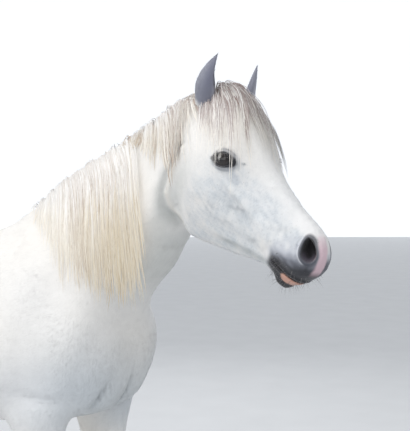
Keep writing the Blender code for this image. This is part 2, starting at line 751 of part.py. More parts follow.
def mane(flesh, group, workshop):
    """The hair slab on the crest and on the right side of the neck."""
    rings = []
    for x, low in resampled(MANE_TIPS, SPACING["mane"]):
        corners = ((-MANE_REACH, MANE_TOP), (MANE_FAR_SIDE, MANE_TOP),
                   (MANE_FAR_SIDE, low), (-MANE_REACH, low))
        rings.append([Vector(p) for p in turned([(x, y, z) for y, z in corners])])
    outline = loft("mane_outline", rings, workshop)
    hair = grown(flesh, MANE_DEPTH, workshop)
    hair.name = "mane"
    take_over(hair, group)
    cut(hair, outline, "INTERSECT")
    cut(hair, grown(flesh, GAP, workshop), "DIFFERENCE")
    return hair


def forelock(flesh, group, workshop):
    """The hair slab that falls from between the ears over the forehead."""
    above, below = 0.09, -0.05
    rings = []
    for x, half in resampled(FORELOCK, SPACING["forelock"]):
        corners = ((-half, above), (half, above), (half, below), (-half, below))
        rings.append([Vector((x, y, z)) for y, z in corners])
    outline = loft("forelock_outline", rings, workshop)
    outline.data.transform(bent_head_frame())
    hair = grown(flesh, FORELOCK_DEPTH, workshop)
    hair.name = "forelock"
    take_over(hair, group)
    cut(hair, outline, "INTERSECT")
    cut(hair, grown(flesh, GAP, workshop), "DIFFERENCE")
    return hair


def tail(flesh, group, workshop):
    """Dock and tail hair as one hanging form."""
    rings = []
    rows = resampled(TAIL, SPACING["tail"])
    for i, (x, z, length, width) in enumerate(rows):
        ahead = rows[min(i + 1, len(rows) - 1)] - rows[max(i - 1, 0)]
        along = Vector((ahead[0], 0, ahead[1])).normalized()
        up = Vector((-along.z, 0, along.x))
        rings.append(egg_ring(Vector((x, 0, z)), Vector((0, 1, 0)), up, width, length, length,
                              0.0, 1.0, HORN_POINTS))
    hair = loft("tail", rings, group)
    return cut(hair, grown(flesh, GAP, workshop), "DIFFERENCE")


def settle(pony):
    """Puts the middle of the model's footprint at the origin."""
    points = np.vstack([points_of(obj) for obj in pony.objects])
    low, high = points.min(axis=0), points.max(axis=0)
    shift = Vector((-(low[0] + high[0]) / 2, -(low[1] + high[1]) / 2, -low[2]))
    for obj in pony.objects:
        obj.data.transform(Matrix.Translation(shift))


def finish(obj, colour, roughness):
    obj.data.materials.clear()
    obj.data.materials.append(material(obj.name, colour, roughness))
    obj.data.shade_smooth()
    obj.data.set_sharp_from_angle(angle=math.radians(35))


def main():
    clear_scene()
    pony = new_collection("grey_pony")
    workshop = new_collection("cutters", hidden=True)
    flesh = fused_flesh(workshop)
    pieces = parted_flesh(flesh, pony, workshop)
    for name, side in (("right", -1), ("left", 1)):
        finish(sphere(name + "_eye", eye_centre(side), EYE_RADIUS, pony), EYE_DARK, 0.1)
        socket = sphere(name + "_socket", eye_centre(side), EYE_RADIUS + GAP, workshop)
        cut(pieces["head"], socket, "DIFFERENCE")
        shell = ear(name + "_ear", side, pony)
        cut(shell, grown(flesh, GAP, workshop), "DIFFERENCE")
        finish(shell, GREY_SKIN, 0.8)
    for name, piece in pieces.items():
        finish(piece, GREY_SKIN if name == "muzzle" else COAT, 0.8)
    for leg in LEG_STEPS:
        finish(hoof(leg + "_hoof", leg, pony), HORN, 0.5)
    for hair in (mane, forelock, tail):
        finish(hair(flesh, pony, workshop), HAIR, 0.7)
    for helper in workshop.objects:
        helper.hide_render = True
        helper.display_type = "WIRE"
    settle(pony)


main()
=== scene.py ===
"""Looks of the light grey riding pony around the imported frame: one skin over all the flesh,
a short coat on it, eyes, lashes, hooves, mane, forelock and tail."""

import math

import bmesh
import bpy
import numpy as np
from mathutils import Matrix, Vector
from mathutils.bvhtree import BVHTree


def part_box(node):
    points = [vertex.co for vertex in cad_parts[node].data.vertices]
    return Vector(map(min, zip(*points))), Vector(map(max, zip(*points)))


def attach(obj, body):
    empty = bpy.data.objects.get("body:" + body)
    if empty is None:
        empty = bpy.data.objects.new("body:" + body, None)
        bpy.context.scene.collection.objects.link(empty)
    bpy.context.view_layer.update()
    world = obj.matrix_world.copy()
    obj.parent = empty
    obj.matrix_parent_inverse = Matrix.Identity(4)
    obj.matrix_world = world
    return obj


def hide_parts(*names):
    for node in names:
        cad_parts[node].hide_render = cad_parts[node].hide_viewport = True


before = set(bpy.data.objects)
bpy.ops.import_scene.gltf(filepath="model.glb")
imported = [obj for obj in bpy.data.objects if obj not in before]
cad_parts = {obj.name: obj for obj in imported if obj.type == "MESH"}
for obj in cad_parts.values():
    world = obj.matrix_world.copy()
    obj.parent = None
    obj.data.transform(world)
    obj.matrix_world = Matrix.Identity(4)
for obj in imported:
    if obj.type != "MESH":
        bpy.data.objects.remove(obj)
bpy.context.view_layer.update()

# ---------------------------------------------------------------- sizes and places
LEGS = ("right_fore", "left_fore", "right_hind", "left_hind")
FLESH = ["head", "muzzle", "neck", "trunk"]
FLESH += [leg + part for leg in LEGS for part in ("_upper", "_lower")]

SKIN_GRID = 0.0146                # of the fused form, halved again for legs and head
SLIT_CLOSING = 0.0005             # closes the slits between the solids
COAT_DEPTH = 0.0016               # the skin lies this far inside the coat
PATCH_SIZE = 0.003                # of a hair or tuft on its bake map
HEAD_TURN, HEAD_PITCH, HEAD_ROLL = (math.radians(a) for a in (25, 44, -1))
EYE_IN_HEAD = Vector((0.177, 0.0, -0.070))
EYE_SHIFT = Vector((0.0022, -0.0015, -0.0064))
EYE_RADIUS = 0.0255
BEND_START, BEND_END = 0.08, 0.60             # of the neck, by x of the straight model
POLL = (0.694, 0.0, 1.720)                    # of the straight model
EAR_LENGTH, EAR_WIDTH = 0.098, 0.0290
EAR_SUNK, EAR_HOOK = 0.030, 0.014
# for each ear: degrees it tilts back, spreads outward and turns outward, its base, and its
# depth at the tip, width and bow as shares
EARS = {-1: (15, 12, -50, (0.004, 0.055, -0.008), 0.95, 1.15, 1.0),
        1: (27, 5, 48, (0.013, 0.075, -0.010), 0.60, 0.98, -0.3)}

# crest of the straight model, from the withers to the poll: x, z
CREST = np.array([(-0.10, 1.405), (-0.06, 1.415), (0.03, 1.45), (0.115, 1.515), (0.21, 1.566),
                  (0.31, 1.606), (0.41, 1.646), (0.50, 1.684), (0.59, 1.714), (0.675, 1.722)])


def srgb(*levels):
    """Linear colour of 0-255 screen levels."""
    c = np.array(levels, float) / 255
    return np.where(c <= 0.04045, c / 12.92, ((c + 0.055) / 1.055) ** 2.4)


COAT = srgb(231, 230, 229)
COAT_COOL = srgb(205, 210, 214)
COAT_WARM = srgb(236, 230, 220)
SLATE = srgb(92, 95, 106)
LIP_BLACK = srgb(34, 34, 40)
NOSTRIL_BLACK = srgb(16, 15, 19)
SNIP_PINK = srgb(212, 184, 192)
LIP_PINK = srgb(206, 158, 140)
LID_DARK = srgb(38, 38, 44)
EAR_GREY = srgb(124, 126, 139)
EAR_EDGE = srgb(176, 178, 188)
EAR_INSIDE = srgb(196, 184, 184)
HAIR_WHITE = srgb(244, 241, 237)
HAIR_CREAM = srgb(242, 236, 223)
HAIR_YELLOW = srgb(222, 204, 166)
HAIR_BROWN = srgb(172, 150, 130)
HAIR_MAUVE = srgb(128, 102, 97)


# ---------------------------------------------------------------- small helpers
def unit(v):
    v = np.asarray(v, float)
    return v / np.maximum(np.linalg.norm(v, axis=-1, keepdims=True), 1e-12)


def ease(x, start, end):
    t = np.clip((x - start) / (end - start), 0.0, 1.0)
    return t * t * (3 - 2 * t)


def mix(a, b, share):
    share = np.asarray(share, float)[..., None]
    return a * (1 - share) + b * share


def bump(x, middle, width):
    return np.exp(-((x - middle) / width) ** 2)


def placed(matrix, points):
    m = np.array(matrix)
    return np.asarray(points, float) @ m[:3, :3].T + m[:3, 3]


def read(items, field, width, kind=np.float32):
    """A field of a mesh's items as rows."""
    values = np.empty(len(items) * width, kind)
    items.foreach_get(field, values)
    return values.reshape(-1, width)


def points_of(obj):
    return read(obj.data.vertices, "co", 3).astype(float)


def set_points(obj, points):
    obj.data.vertices.foreach_set("co", np.asarray(points, np.float32).ravel())
    obj.data.update()


def normals_of(obj):
    return read(obj.data.vertex_normals, "vector", 3).astype(float)


def tree_of(obj):
    return BVHTree.FromPolygons([v.co.copy() for v in obj.data.vertices],
                                [tuple(p.vertices) for p in obj.data.polygons])


def alone(obj):
    """Makes obj the only selected object, and the active one."""
    if bpy.context.object and bpy.context.object.mode != "OBJECT":
        bpy.ops.object.mode_set(mode="OBJECT")
    bpy.ops.object.select_all(action="DESELECT")
    obj.select_set(True)
    bpy.context.view_layer.objects.active = obj


def apply_all(obj):
    alone(obj)
    for step in list(obj.modifiers):
        bpy.ops.object.modifier_apply(modifier=step.name)


def new_piece(name, points, groups):
    """A mesh object from a point array and arrays of faces with equal corner counts."""
    groups = [np.asarray(g, np.int32) for g in groups if len(g)]
    mesh = bpy.data.meshes.new(name)
    mesh.vertices.add(len(points))
    mesh.vertices.foreach_set("co", np.asarray(points, np.float32).ravel())
    corners = np.concatenate([g.ravel() for g in groups])
    totals = np.concatenate([np.full(len(g), g.shape[1], np.int32) for g in groups])
    mesh.loops.add(len(corners))
    mesh.loops.foreach_set("vertex_index", corners)
    mesh.polygons.add(len(totals))
    starts = np.concatenate([[0], np.cumsum(totals)[:-1]]).astype(np.int32)
    mesh.polygons.foreach_set("loop_start", starts)
    mesh.update(calc_edges=True)
    mesh.validate()
    mesh.shade_smooth()
    obj = bpy.data.objects.new(name, mesh)
    bpy.context.scene.collection.objects.link(obj)
    return obj


def face_out(obj):
    shape = bmesh.new()
    shape.from_mesh(obj.data)
    bmesh.ops.recalc_face_normals(shape, faces=shape.faces)
    shape.to_mesh(obj.data)
    shape.free()


def tube_faces(steps, count):
    """Quads of a tube of steps + 1 rings with count points each."""
    a = np.arange(count)
    b = np.roll(a, -1)
    ring = np.column_stack([a, b, b + count, a + count])
    return np.vstack([ring + k * count for k in range(steps)])


def paint(obj, colours, name="Coat"):
    layer = obj.data.color_attributes.new(name, "FLOAT_COLOR", "POINT")
    rgba = np.ones((len(obj.data.vertices), 4), np.float32)
    rgba[:, :3] = colours
    layer.data.foreach_set("color", rgba.ravel())


def patch_map(obj, roots, patch):
    """The bake map: each hair or tuft has a small patch at its root's place."""
    uv = (roots[:, None] + PATCH_SIZE * patch[None]).reshape(-1, 2)
    layer = obj.data.uv_layers.new(name="OFBake")
    corners = read(obj.data.loops, "vertex_index", 1, np.int32)
    layer.uv.foreach_set("vector", np.asarray(uv, np.float32)[corners].ravel())


def keep(obj, material, replaces=()):
    """Gives a piece its only material, its body and the solids it stands for."""
    obj.data.materials.clear()
    obj.data.materials.append(material)
    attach(obj, "root")
    if replaces:
        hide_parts(*replaces)
    return obj


def wobble(points, scale, seed):
    """Smooth uneven values of about -1 to 1, at about scale waves a metre over two pi."""
    r = np.random.default_rng(seed)
    total = 0.0
    for _ in range(9):
        way = unit(r.normal(0, 1, 3)) * scale * r.uniform(0.55, 1.5)
        bend = unit(r.normal(0, 1, 3)) * scale * 0.45
        total = total + np.sin(points @ way + r.uniform(0, 6.3) + 1.6 * np.sin(points @ bend))
    return total / 3.0


# ---------------------------------------------------------------- frames
def middle_of(node):
    low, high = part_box(node)
    return (low + high) / 2


def head_frame():
    """The head's own frame: x from the poll to the lips, y left, z towards the face line."""
    spin = (Matrix.Rotation(-HEAD_TURN, 4, "Z") @ Matrix.Rotation(HEAD_PITCH, 4, "Y")
            @ Matrix.Rotation(HEAD_ROLL, 4, "X"))
    eyes = (middle_of("left_eye") + middle_of("right_eye")) / 2
    return Matrix.Translation(eyes - spin @ EYE_IN_HEAD) @ spin


HEAD = head_frame()
HEAD_BACK = HEAD.inverted()


def in_head(p):
    """Points in the head's frame, with all that isn't near the head put behind it."""
    h = placed(HEAD_BACK, p)
    h[(p[:, 2] < 1.10) | (h[:, 2] < -0.42)] = (-1.0, 0.0, -1.0)
    return h


def turned(points):
    """Points of the straight model with the neck bent to the right."""
    p = np.asarray(points, float).reshape(-1, 3)
    radius = (BEND_END - BEND_START) / HEAD_TURN
    along = np.clip(p[:, 0], BEND_START, BEND_END) - BEND_START
    angle = along / radius
    beyond = p[:, 0] - BEND_START - along
    x = BEND_START + (radius + p[:, 1]) * np.sin(angle) + beyond * np.cos(angle)
    y = (radius + p[:, 1]) * np.cos(angle) - radius - beyond * np.sin(angle)
    return np.column_stack([x, y, p[:, 2]])


SHIFT = np.array(HEAD.translation) - turned([POLL])[0]


def from_straight(points):
    return turned(points) + SHIFT


def ear_frame(side):
    """An ear's frame, for side 1 the left: z along the ear, x out of its opening."""
    tilt, spread, twist = (math.radians(a) for a in EARS[side][:3])
    place = (Matrix.Translation(EARS[side][3]) @ Matrix.Rotation(-tilt, 4, "Y")
             @ Matrix.Rotation(-spread, 4, "X") @ Matrix.Rotation(twist, 4, "Z"))
    mirror = Matrix.Diagonal((1, side, 1, 1))
    return HEAD @ mirror @ place


def side_frame(side, origin, ahead, outward):
    """A frame on the head from vectors of its left side: x ahead, y up, z outward.
    The left one is mirrored, so both sides are shaped alike."""
    flip = np.array([1, side, 1])
    z = unit(np.array(outward) * flip)
    x = np.array(ahead) * flip
    x = unit(x - z * (x @ z))
    y = np.cross(z, x) * -side
    local = Matrix.Identity(4)
    for column, axis in enumerate((x, y, z, np.array(origin) * flip)):
        for row in range(3):
            local[row][column] = axis[row]
    return HEAD @ local


EYE_AXES = ((0.80, -0.304, 0.52), (0.25, 0.95, 0.15))
EYE_FRAMES = {s: side_frame(s, Vector((EYE_IN_HEAD.x, 0.077, EYE_IN_HEAD.z)) + EYE_SHIFT,
                            *EYE_AXES) for s in (-1, 1)}
NOSTRIL_AXES = ((0.70, 0.10, -0.70), (0.34, 0.82, 0.42))
NOSTRIL_AT = (0.4900, 0.0370, -0.0730)
NOSTRIL_FRAMES = {s: side_frame(s, NOSTRIL_AT, *NOSTRIL_AXES) for s in (-1, 1)}


# ---------------------------------------------------------------- skin: the base form
def relax(obj, weight, passes, hold=0.0):
    """Softens the surface. With hold, each pass is followed by one that swells it back."""
    ends = read(obj.data.edges, "vertices", 2, np.int32)
    p = points_of(obj)
    both = np.concatenate([ends[:, 0], ends[:, 1]])
    other = np.concatenate([ends[:, 1], ends[:, 0]])
    count = np.maximum(np.bincount(both, minlength=len(p)), 1)[:, None]
    for _ in range(passes):
        for factor in (0.5, -0.5 * hold) if hold else (0.5,):
            near = np.column_stack([np.bincount(both, weights=p[other, k], minlength=len(p))
                                    for k in range(3)]) / count
            p += (near - p) * (factor * weight)[:, None]
    set_points(obj, p)


def joined_copy(names, name):
    """One mesh of copies of the nodes, with their loose triangles merged."""
    bpy.ops.object.select_all(action="DESELECT")
    twins = []
    for node in names:
        twin = bpy.data.objects.new(node + "_copy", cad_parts[node].data.copy())
        bpy.context.scene.collection.objects.link(twin)
        twin.select_set(True)
        twins.append(twin)
    bpy.context.view_layer.objects.active = twins[0]
    bpy.ops.object.join()
    whole = bpy.context.object
    whole.name = name
    whole.data.materials.clear()
    alone(whole)
    bpy.ops.object.mode_set(mode="EDIT")
    bpy.ops.mesh.select_all(action="SELECT")
    bpy.ops.mesh.customdata_custom_splitnormals_clear()
    bpy.ops.mesh.remove_doubles(threshold=0.00002)
    bpy.ops.object.mode_set(mode="OBJECT")
    return whole


def refine(obj, choose):
    """Halves the grid of the faces whose middle is chosen."""
    chosen = choose(read(obj.data.polygons, "center", 3).astype(float))
    alone(obj)
    bpy.ops.object.mode_set(mode="EDIT")
    bpy.ops.mesh.select_mode(type="FACE")
    bpy.ops.mesh.select_all(action="DESELECT")
    bpy.ops.object.mode_set(mode="OBJECT")
    obj.data.polygons.foreach_set("select", chosen)
    bpy.ops.object.mode_set(mode="EDIT")
    bpy.ops.mesh.subdivide(number_cuts=1)
    bpy.ops.object.mode_set(mode="OBJECT")


def base_form():
    """The flesh fused to one even surface, with finer faces on legs, head, eyes and mouth."""
    skin = joined_copy(FLESH + ["left_eye", "right_eye"], "skin")
    swell = skin.modifiers.new("Close", "DISPLACE")
    swell.strength, swell.mid_level = SLIT_CLOSING, 0.0
    grid = skin.modifiers.new("Fuse", "REMESH")
    grid.mode, grid.voxel_size = "VOXEL", SKIN_GRID
    apply_all(skin)
    p = points_of(skin)
    head = ease(in_head(p)[:, 0], -0.10, 0.06)
    broad = (1 - head) * ease(p[:, 2], 0.60, 0.95)
    relax(skin, 0.14 + 0.86 * broad, 30, hold=1.03)
    relax(skin, np.full(len(p), 0.25), 2)

    def nearer(points, line):
        h = in_head(points)
        return (h[:, 0] > line) & (h[:, 2] > -0.38)

    refine(skin, lambda m: nearer(m, -0.03) | (m[:, 2] < 0.60))
    relax(skin, np.full(len(skin.data.vertices), 0.5), 3, hold=1.0)
    refine(skin, lambda m: nearer(m, 0.0))
    refine(skin, lambda m: near_places(m, [EYE_FRAMES[s].translation for s in (-1, 1)], 0.054)
           | near_mouth(in_head(m), 0.020))
    share = ease(in_head(points_of(skin))[:, 0], 0.0, 0.1)
    relax(skin, 0.5 * share, 3, hold=1.0)
    return skin


def near_places(points, places, reach):
    near = np.zeros(len(points), bool)
    for place in places:
        near |= np.linalg.norm(points - np.array(place), axis=1) < reach
    return near


# The line between the lips in the head's frame, from the corner forward: x, z
MOUTH = np.array([(0.425, -0.1665), (0.450, -0.1640), (0.477, -0.1610), (0.505, -0.1575),
                  (0.520, -0.1545), (0.545, -0.1500)])


def mouth_line(x):
    return np.interp(x, MOUTH[:, 0], MOUTH[:, 1])


def near_mouth(h, reach):
    return (h[:, 0] > 0.41) & (np.abs(h[:, 2] - mouth_line(h[:, 0])) < reach)


# Finer forms of the head: centre of the left side, radii, lean nose-down, height
TOUCHES = [
    ((0.262, 0.078, -0.118), (0.060, 0.030, 0.0060), 0.10, 0.0035),   # face crest
    ((0.300, 0.070, -0.138), (0.050, 0.030, 0.0130), 0.10, -0.0035),  # below the crest
    ((0.330, 0.060, -0.112), (0.016, 0.030, 0.0100), 0.0, -0.0015),   # end of the crest
    ((0.205, 0.085, -0.200), (0.060, 0.035, 0.0150), -0.55, -0.0016), # front of the cheek
    ((0.125, 0.080, 0.004), (0.020, 0.028, 0.0150), 0.1, -0.0045),    # hollow over the eye
    ((0.160, 0.086, -0.026), (0.026, 0.026, 0.0060), 0.15, 0.0030),   # brow edge
    ((0.350, 0.052, -0.070), (0.060, 0.022, 0.0080), -0.05, 0.0016),  # nose muscle
    ((0.440, 0.040, -0.125), (0.020, 0.026, 0.0120), 0.2, 0.0030),    # lip pad
    ((0.413, 0.045, -0.165), (0.010, 0.030, 0.0110), 0.0, 0.0022),    # fold behind the mouth
    ((0.399, 0.045, -0.168), (0.006, 0.030, 0.0160), 0.3, -0.0012),
    ((0.472, 0.010, -0.200), (0.024, 0.030, 0.0150), 0.0, 0.0060),    # chin pad
    ((0.350, 0.025, -0.225), (0.080, 0.040, 0.0300), -0.55, 0.0045),  # under the jaw bars
    ((0.180, 0.050, -0.320), (0.045, 0.040, 0.0250), 0.0, 0.0060),    # corner of the jaw
    ((0.500, 0.022, -0.185), (0.012, 0.020, 0.0060), 0.0, -0.0016),
    ((0.365, 0.048, -0.185), (0.050, 0.030, 0.0110), -0.22, -0.0022), # groove along the bars
    ((0.300, 0.055, -0.230), (0.080, 0.020, 0.0140), -0.30, 0.0016),  # jaw bar
]


# Groove behind the jowl in the head's frame, from the throat up: x, z
JOWL = np.array([(0.220, -0.357), (0.184, -0.342), (0.141, -0.333), (0.102, -0.314),
                 (0.075, -0.284), (0.059, -0.246), (0.050, -0.207), (0.050, -0.161)])


def line_gap(flat, line):
    """Share along a line and signed distance from it, positive on its right."""
    best, side, share = np.full(len(flat), 9.0), np.zeros(len(flat)), np.zeros(len(flat))
    for k in range(len(line) - 1):
        a, d = line[k], line[k + 1] - line[k]
        t = np.clip((flat - a) @ d / (d @ d), 0, 1)
        away = flat - a - t[:, None] * d
        gap = np.linalg.norm(away, axis=1)
        near = gap < best
        best = np.where(near, gap, best)
        side = np.where(near, np.sign(d[1] * away[:, 0] - d[0] * away[:, 1]), side)
        share = np.where(near, (k + t) / (len(line) - 1), share)
    return share, best * side


def lumps(table, p, facing):
    """How far soft lumps lift points, on both sides of the middle unless they lie on it."""
    lift = np.zeros(len(p))
    for (cx, cy, cz), (rx, ry, rz), lean, height in table:
        c, s = math.cos(lean), math.sin(lean)
        for side in (-1, 1) if cy else (1,):
            dx, dy, dz = p[:, 0] - cx, p[:, 1] - cy * side, p[:, 2] - cz
            along, up = (dx * c - dz * s) / rx, (dx * s + dz * c) / rz
            near = np.exp(-along ** 2 - (dy / ry) ** 2 - up ** 2)
            lift += height * near * (np.clip(0.6 + facing * side, 0, 1) if cy else 1)
    return lift


def sculpt_head(skin):
    p, n = points_of(skin), normals_of(skin)
    h = in_head(p)
    lift = lumps(TOUCHES, h, (n @ np.array(HEAD)[:3, :3])[:, 1])
    # the round edge of the jowl, with the throat's groove behind it
    _, gap = line_gap(h[:, [0, 2]], JOWL)
    sides = np.clip((np.abs(h[:, 1]) - 0.012) / 0.03, 0, 1)
    lift += sides * (0.0040 * bump(gap, 0.013, 0.009) - 0.0110 * bump(gap, -0.008, 0.010))
    # lips: parted a little behind, closed in front
    off = h[:, 2] - mouth_line(h[:, 0])
    start = ease(h[:, 0], 0.424, 0.436)
    gape = 0.0036 - 0.0020 * ease(h[:, 0], 0.468, 0.492)
    inside = (h[:, 0] > 0.40) & (h[:, 2] > -0.26)
    lips = start * inside
    lift -= 0.0075 * lips * np.exp(-np.abs(off / gape) ** 3)
    lift += lips * 0.0024 * (bump(off, 0.0075, 0.0040) + 0.9 * bump(off, -0.0070, 0.0036))
    # fine wrinkles round the corner of the mouth and over the chin
    ripple = np.sin(h[:, 0] * 900 + h[:, 2] * 300 + 2 * wobble(h, 60, 3))
    lift += 0.00035 * ripple * bump(h[:, 0], 0.425, 0.018) * bump(h[:, 2], -0.168, 0.022)
    set_points(skin, p + n * lift[:, None])


# Broad shapes under the body's skin: centre (side 1 the left), radii, lean, height
BODY_TOUCHES = [
    ((0.330, 0.060, 1.000), (0.060, 0.055, 0.070), 0.0, 0.005),     # breast
    ((0.305, 0.049, 0.898), (0.060, 0.036, 0.050), 0.0, 0.015),
    ((0.335, 0.000, 0.872), (0.080, 0.010, 0.058), 0.0, -0.015),    # its groove
    ((0.272, 0.102, 0.885), (0.035, 0.014, 0.055), 0.0, -0.014),    # breast and arm part
    ((0.250, 0.150, 0.975), (0.020, 0.060, 0.100), 0.35, -0.006),
    ((0.140, 0.205, 0.890), (0.085, 0.060, 0.017), 0.12, -0.008),   # top of the forearm
    ((0.040, 0.190, 0.835), (0.045, 0.060, 0.035), 0.0, 0.007),     # elbow
    ((0.108, 0.144, 0.440), (0.030, 0.040, 0.022), 0.0, 0.003),     # knee
    ((0.130, 0.150, 0.700), (0.020, 0.050, 0.120), 0.05, 0.004),    # forearm muscle
]


def sculpt_body(skin):
    p, n = points_of(skin), normals_of(skin)
    lift = lumps(BODY_TOUCHES, p - SHIFT, n[:, 1])
    lift -= COAT_DEPTH * (1 - ease(in_head(p)[:, 0], -0.05, 0.05))
    set_points(skin, p + n * lift[:, None])


# ---------------------------------------------------------------- skin: ears, lids, nostrils
def ear_section(t, side):
    """An ear's outer radius, wall, bow to the back and depth at shares t of its height."""
    leaf = np.sin(np.pi * (0.36 + 0.64 * t)) ** 0.62 * (1 - 0.18 * t)
    outer = np.maximum(EAR_WIDTH * EARS[side][5] * leaf, 0.0040)
    deep = 1 - (1 - EARS[side][4]) * np.clip(t / 0.5, 0, 1)
    return outer, 0.0052 - 0.0030 * t, 0.012 * EARS[side][6] * np.sin(np.pi * t), deep


def ear_shell(side):
    """A pricked ear: a leaf-shaped shell with a rolled edge, open to the front."""
    rows, arc = 34, 30
    place = ear_frame(side)
    rings = []
    for t in np.arange(rows + 1) / rows:
        height = -EAR_SUNK + (EAR_LENGTH + EAR_SUNK) * t
        outer, wall, back, deep = ear_section(t, side)
        opening = math.radians(24 + 36 * min(1.0, t / 0.3) + 90 * t)
        points = []
        for layer in (0, 1):
            for share in (np.arange(arc + 1) / arc)[::-1 if layer else 1]:
                edge = abs(2 * share - 1)
                a = -math.pi + opening / 2 + (2 * math.pi - opening) * share
                curl = 1 + 0.10 * edge ** 6
                thick = wall * (1 - 0.45 * edge ** 4)
                r = outer * curl - (min(thick, outer * 0.62) if layer else 0.0)
                points.append((-back - r * deep * math.cos(a),
                               r * math.sin(a) - EAR_HOOK * t ** 1.7, height))
        rings.append(placed(place, points))
    points = np.vstack(rings)
    count = len(rings[0])
    i = np.arange(count // 2 - 1)
    cap = np.column_stack([i, i + 1, count - 2 - i, count - 1 - i])
    obj = new_piece("ear", points, [np.vstack([tube_faces(rows, count), cap,
                                               cap[:, ::-1] + rows * count])])
    face_out(obj)
    return obj


def add_ears(skin):
    """Joins both ears on, with their roots eased into the head."""
    for side in (-1, 1):
        shell = ear_shell(side)
        union = skin.modifiers.new("Ear", "BOOLEAN")
        union.operation, union.solver, union.object = "UNION", "EXACT", shell
        apply_all(skin)
        bpy.data.objects.remove(shell, do_unlink=True)
    p = points_of(skin)
    weight = np.zeros(len(p))
    for side in (-1, 1):
        e = placed(ear_frame(side).inverted(), p)
        around = np.linalg.norm(e[:, :2], axis=1)
        weight = np.maximum(weight, (1 - ease(around, 0.045, 0.060))
                            * ease(e[:, 2], -0.030, -0.016) * (1 - ease(e[:, 2], 0.002, 0.020)))
    relax(skin, weight, 10)


def open_place(shape, place, reach, depth):
    """Removes the faces over a place and gives the loop of vertices left round them."""
    shape.verts.ensure_lookup_table()
    local = placed(place.inverted(), [v.co for v in shape.verts])
    flat = np.linalg.norm(local[:, :2] / np.array(reach), axis=1)
    within = (flat < 1) & (np.abs(local[:, 2]) < depth)
    shape.verts.index_update()
    gone = [f for f in shape.faces if all(within[v.index] for v in f.verts)]
    bmesh.ops.delete(shape, geom=gone, context="FACES")
    nearby = {}
    for edge in shape.edges:
        if edge.is_boundary:
            for a, b in (tuple(edge.verts), tuple(edge.verts)[::-1]):
                nearby.setdefault(a, []).append(b)
    loops, left = [], dict.fromkeys(nearby)
    while left:
        ahead, loop = [next(iter(left))], []
        while ahead:
            loop.append(ahead[0])
            del left[ahead[0]]
            ahead = [v for v in nearby[loop[-1]] if v in left]
        loops.append(loop)
    loop = max(loops, key=len)
    flat = placed(place.inverted(), [v.co for v in loop])[:, :2]
    after = np.roll(flat, -1, axis=0)
    if (flat[:, 0] * after[:, 1] - flat[:, 1] * after[:, 0]).sum() < 0:
        loop.reverse()
    return loop


def loop_angles(loop, place):
    """Angles for a loop's vertices, part way from where they lie to even, and their places."""
    flat = placed(place.inverted(), [v.co for v in loop])[:, :2]
    angle = np.unwrap(np.arctan2(flat[:, 1], flat[:, 0]))
    step = np.linalg.norm(np.roll(flat, -1, axis=0) - flat, axis=1)
    even = angle[0] + 2 * math.pi * np.concatenate([[0], np.cumsum(step)[:-1]]) / step.sum()
    even += (angle - even).mean()
    return 0.5 * (even + angle), flat


def fill_rings(shape, loop, rings, place, bottom):
    """Joins rings of places inward from a loop and closes them on a bottom point."""
    before = loop
    for ring in rings:
        made = [shape.verts.new(c) for c in placed(place, ring)]
        for i in range(len(made)):
            j = (i + 1) % len(made)
            shape.faces.new((before[i], before[j], made[j], made[i]))
        before = made
    end = shape.verts.new(placed(place, [bottom])[0])
    for i in range(len(before)):
        shape.faces.new((before[i], before[(i + 1) % len(before)], end))


def heights(tree, place, flat, fallback):
    """How far out the base form is over flat places of a frame."""
    out = []
    down = place.to_3x3() @ Vector((0, 0, -1))
    for s, t in flat:
        hit = tree.ray_cast(place @ Vector((s, t, 0.08)), down)[0]
        out.append((place.inverted() @ hit).z if hit is not None else fallback)
    return np.array(out)


def lid_outline(angle):
    """The eye's opening: x ahead, y up. It is steeper in front than behind."""
    c, s = np.cos(angle), np.sin(angle)
    x = 0.0240 * c
    upper = 0.0166 * np.clip(s, 0, None) ** 1.12 * (1 + 0.14 * c)
    lower = 0.0136 * np.clip(-s, 0, None) ** 1.25 * (1 + 0.10 * c)
    return x, upper - lower - 0.0010 * np.abs(c) ** 3


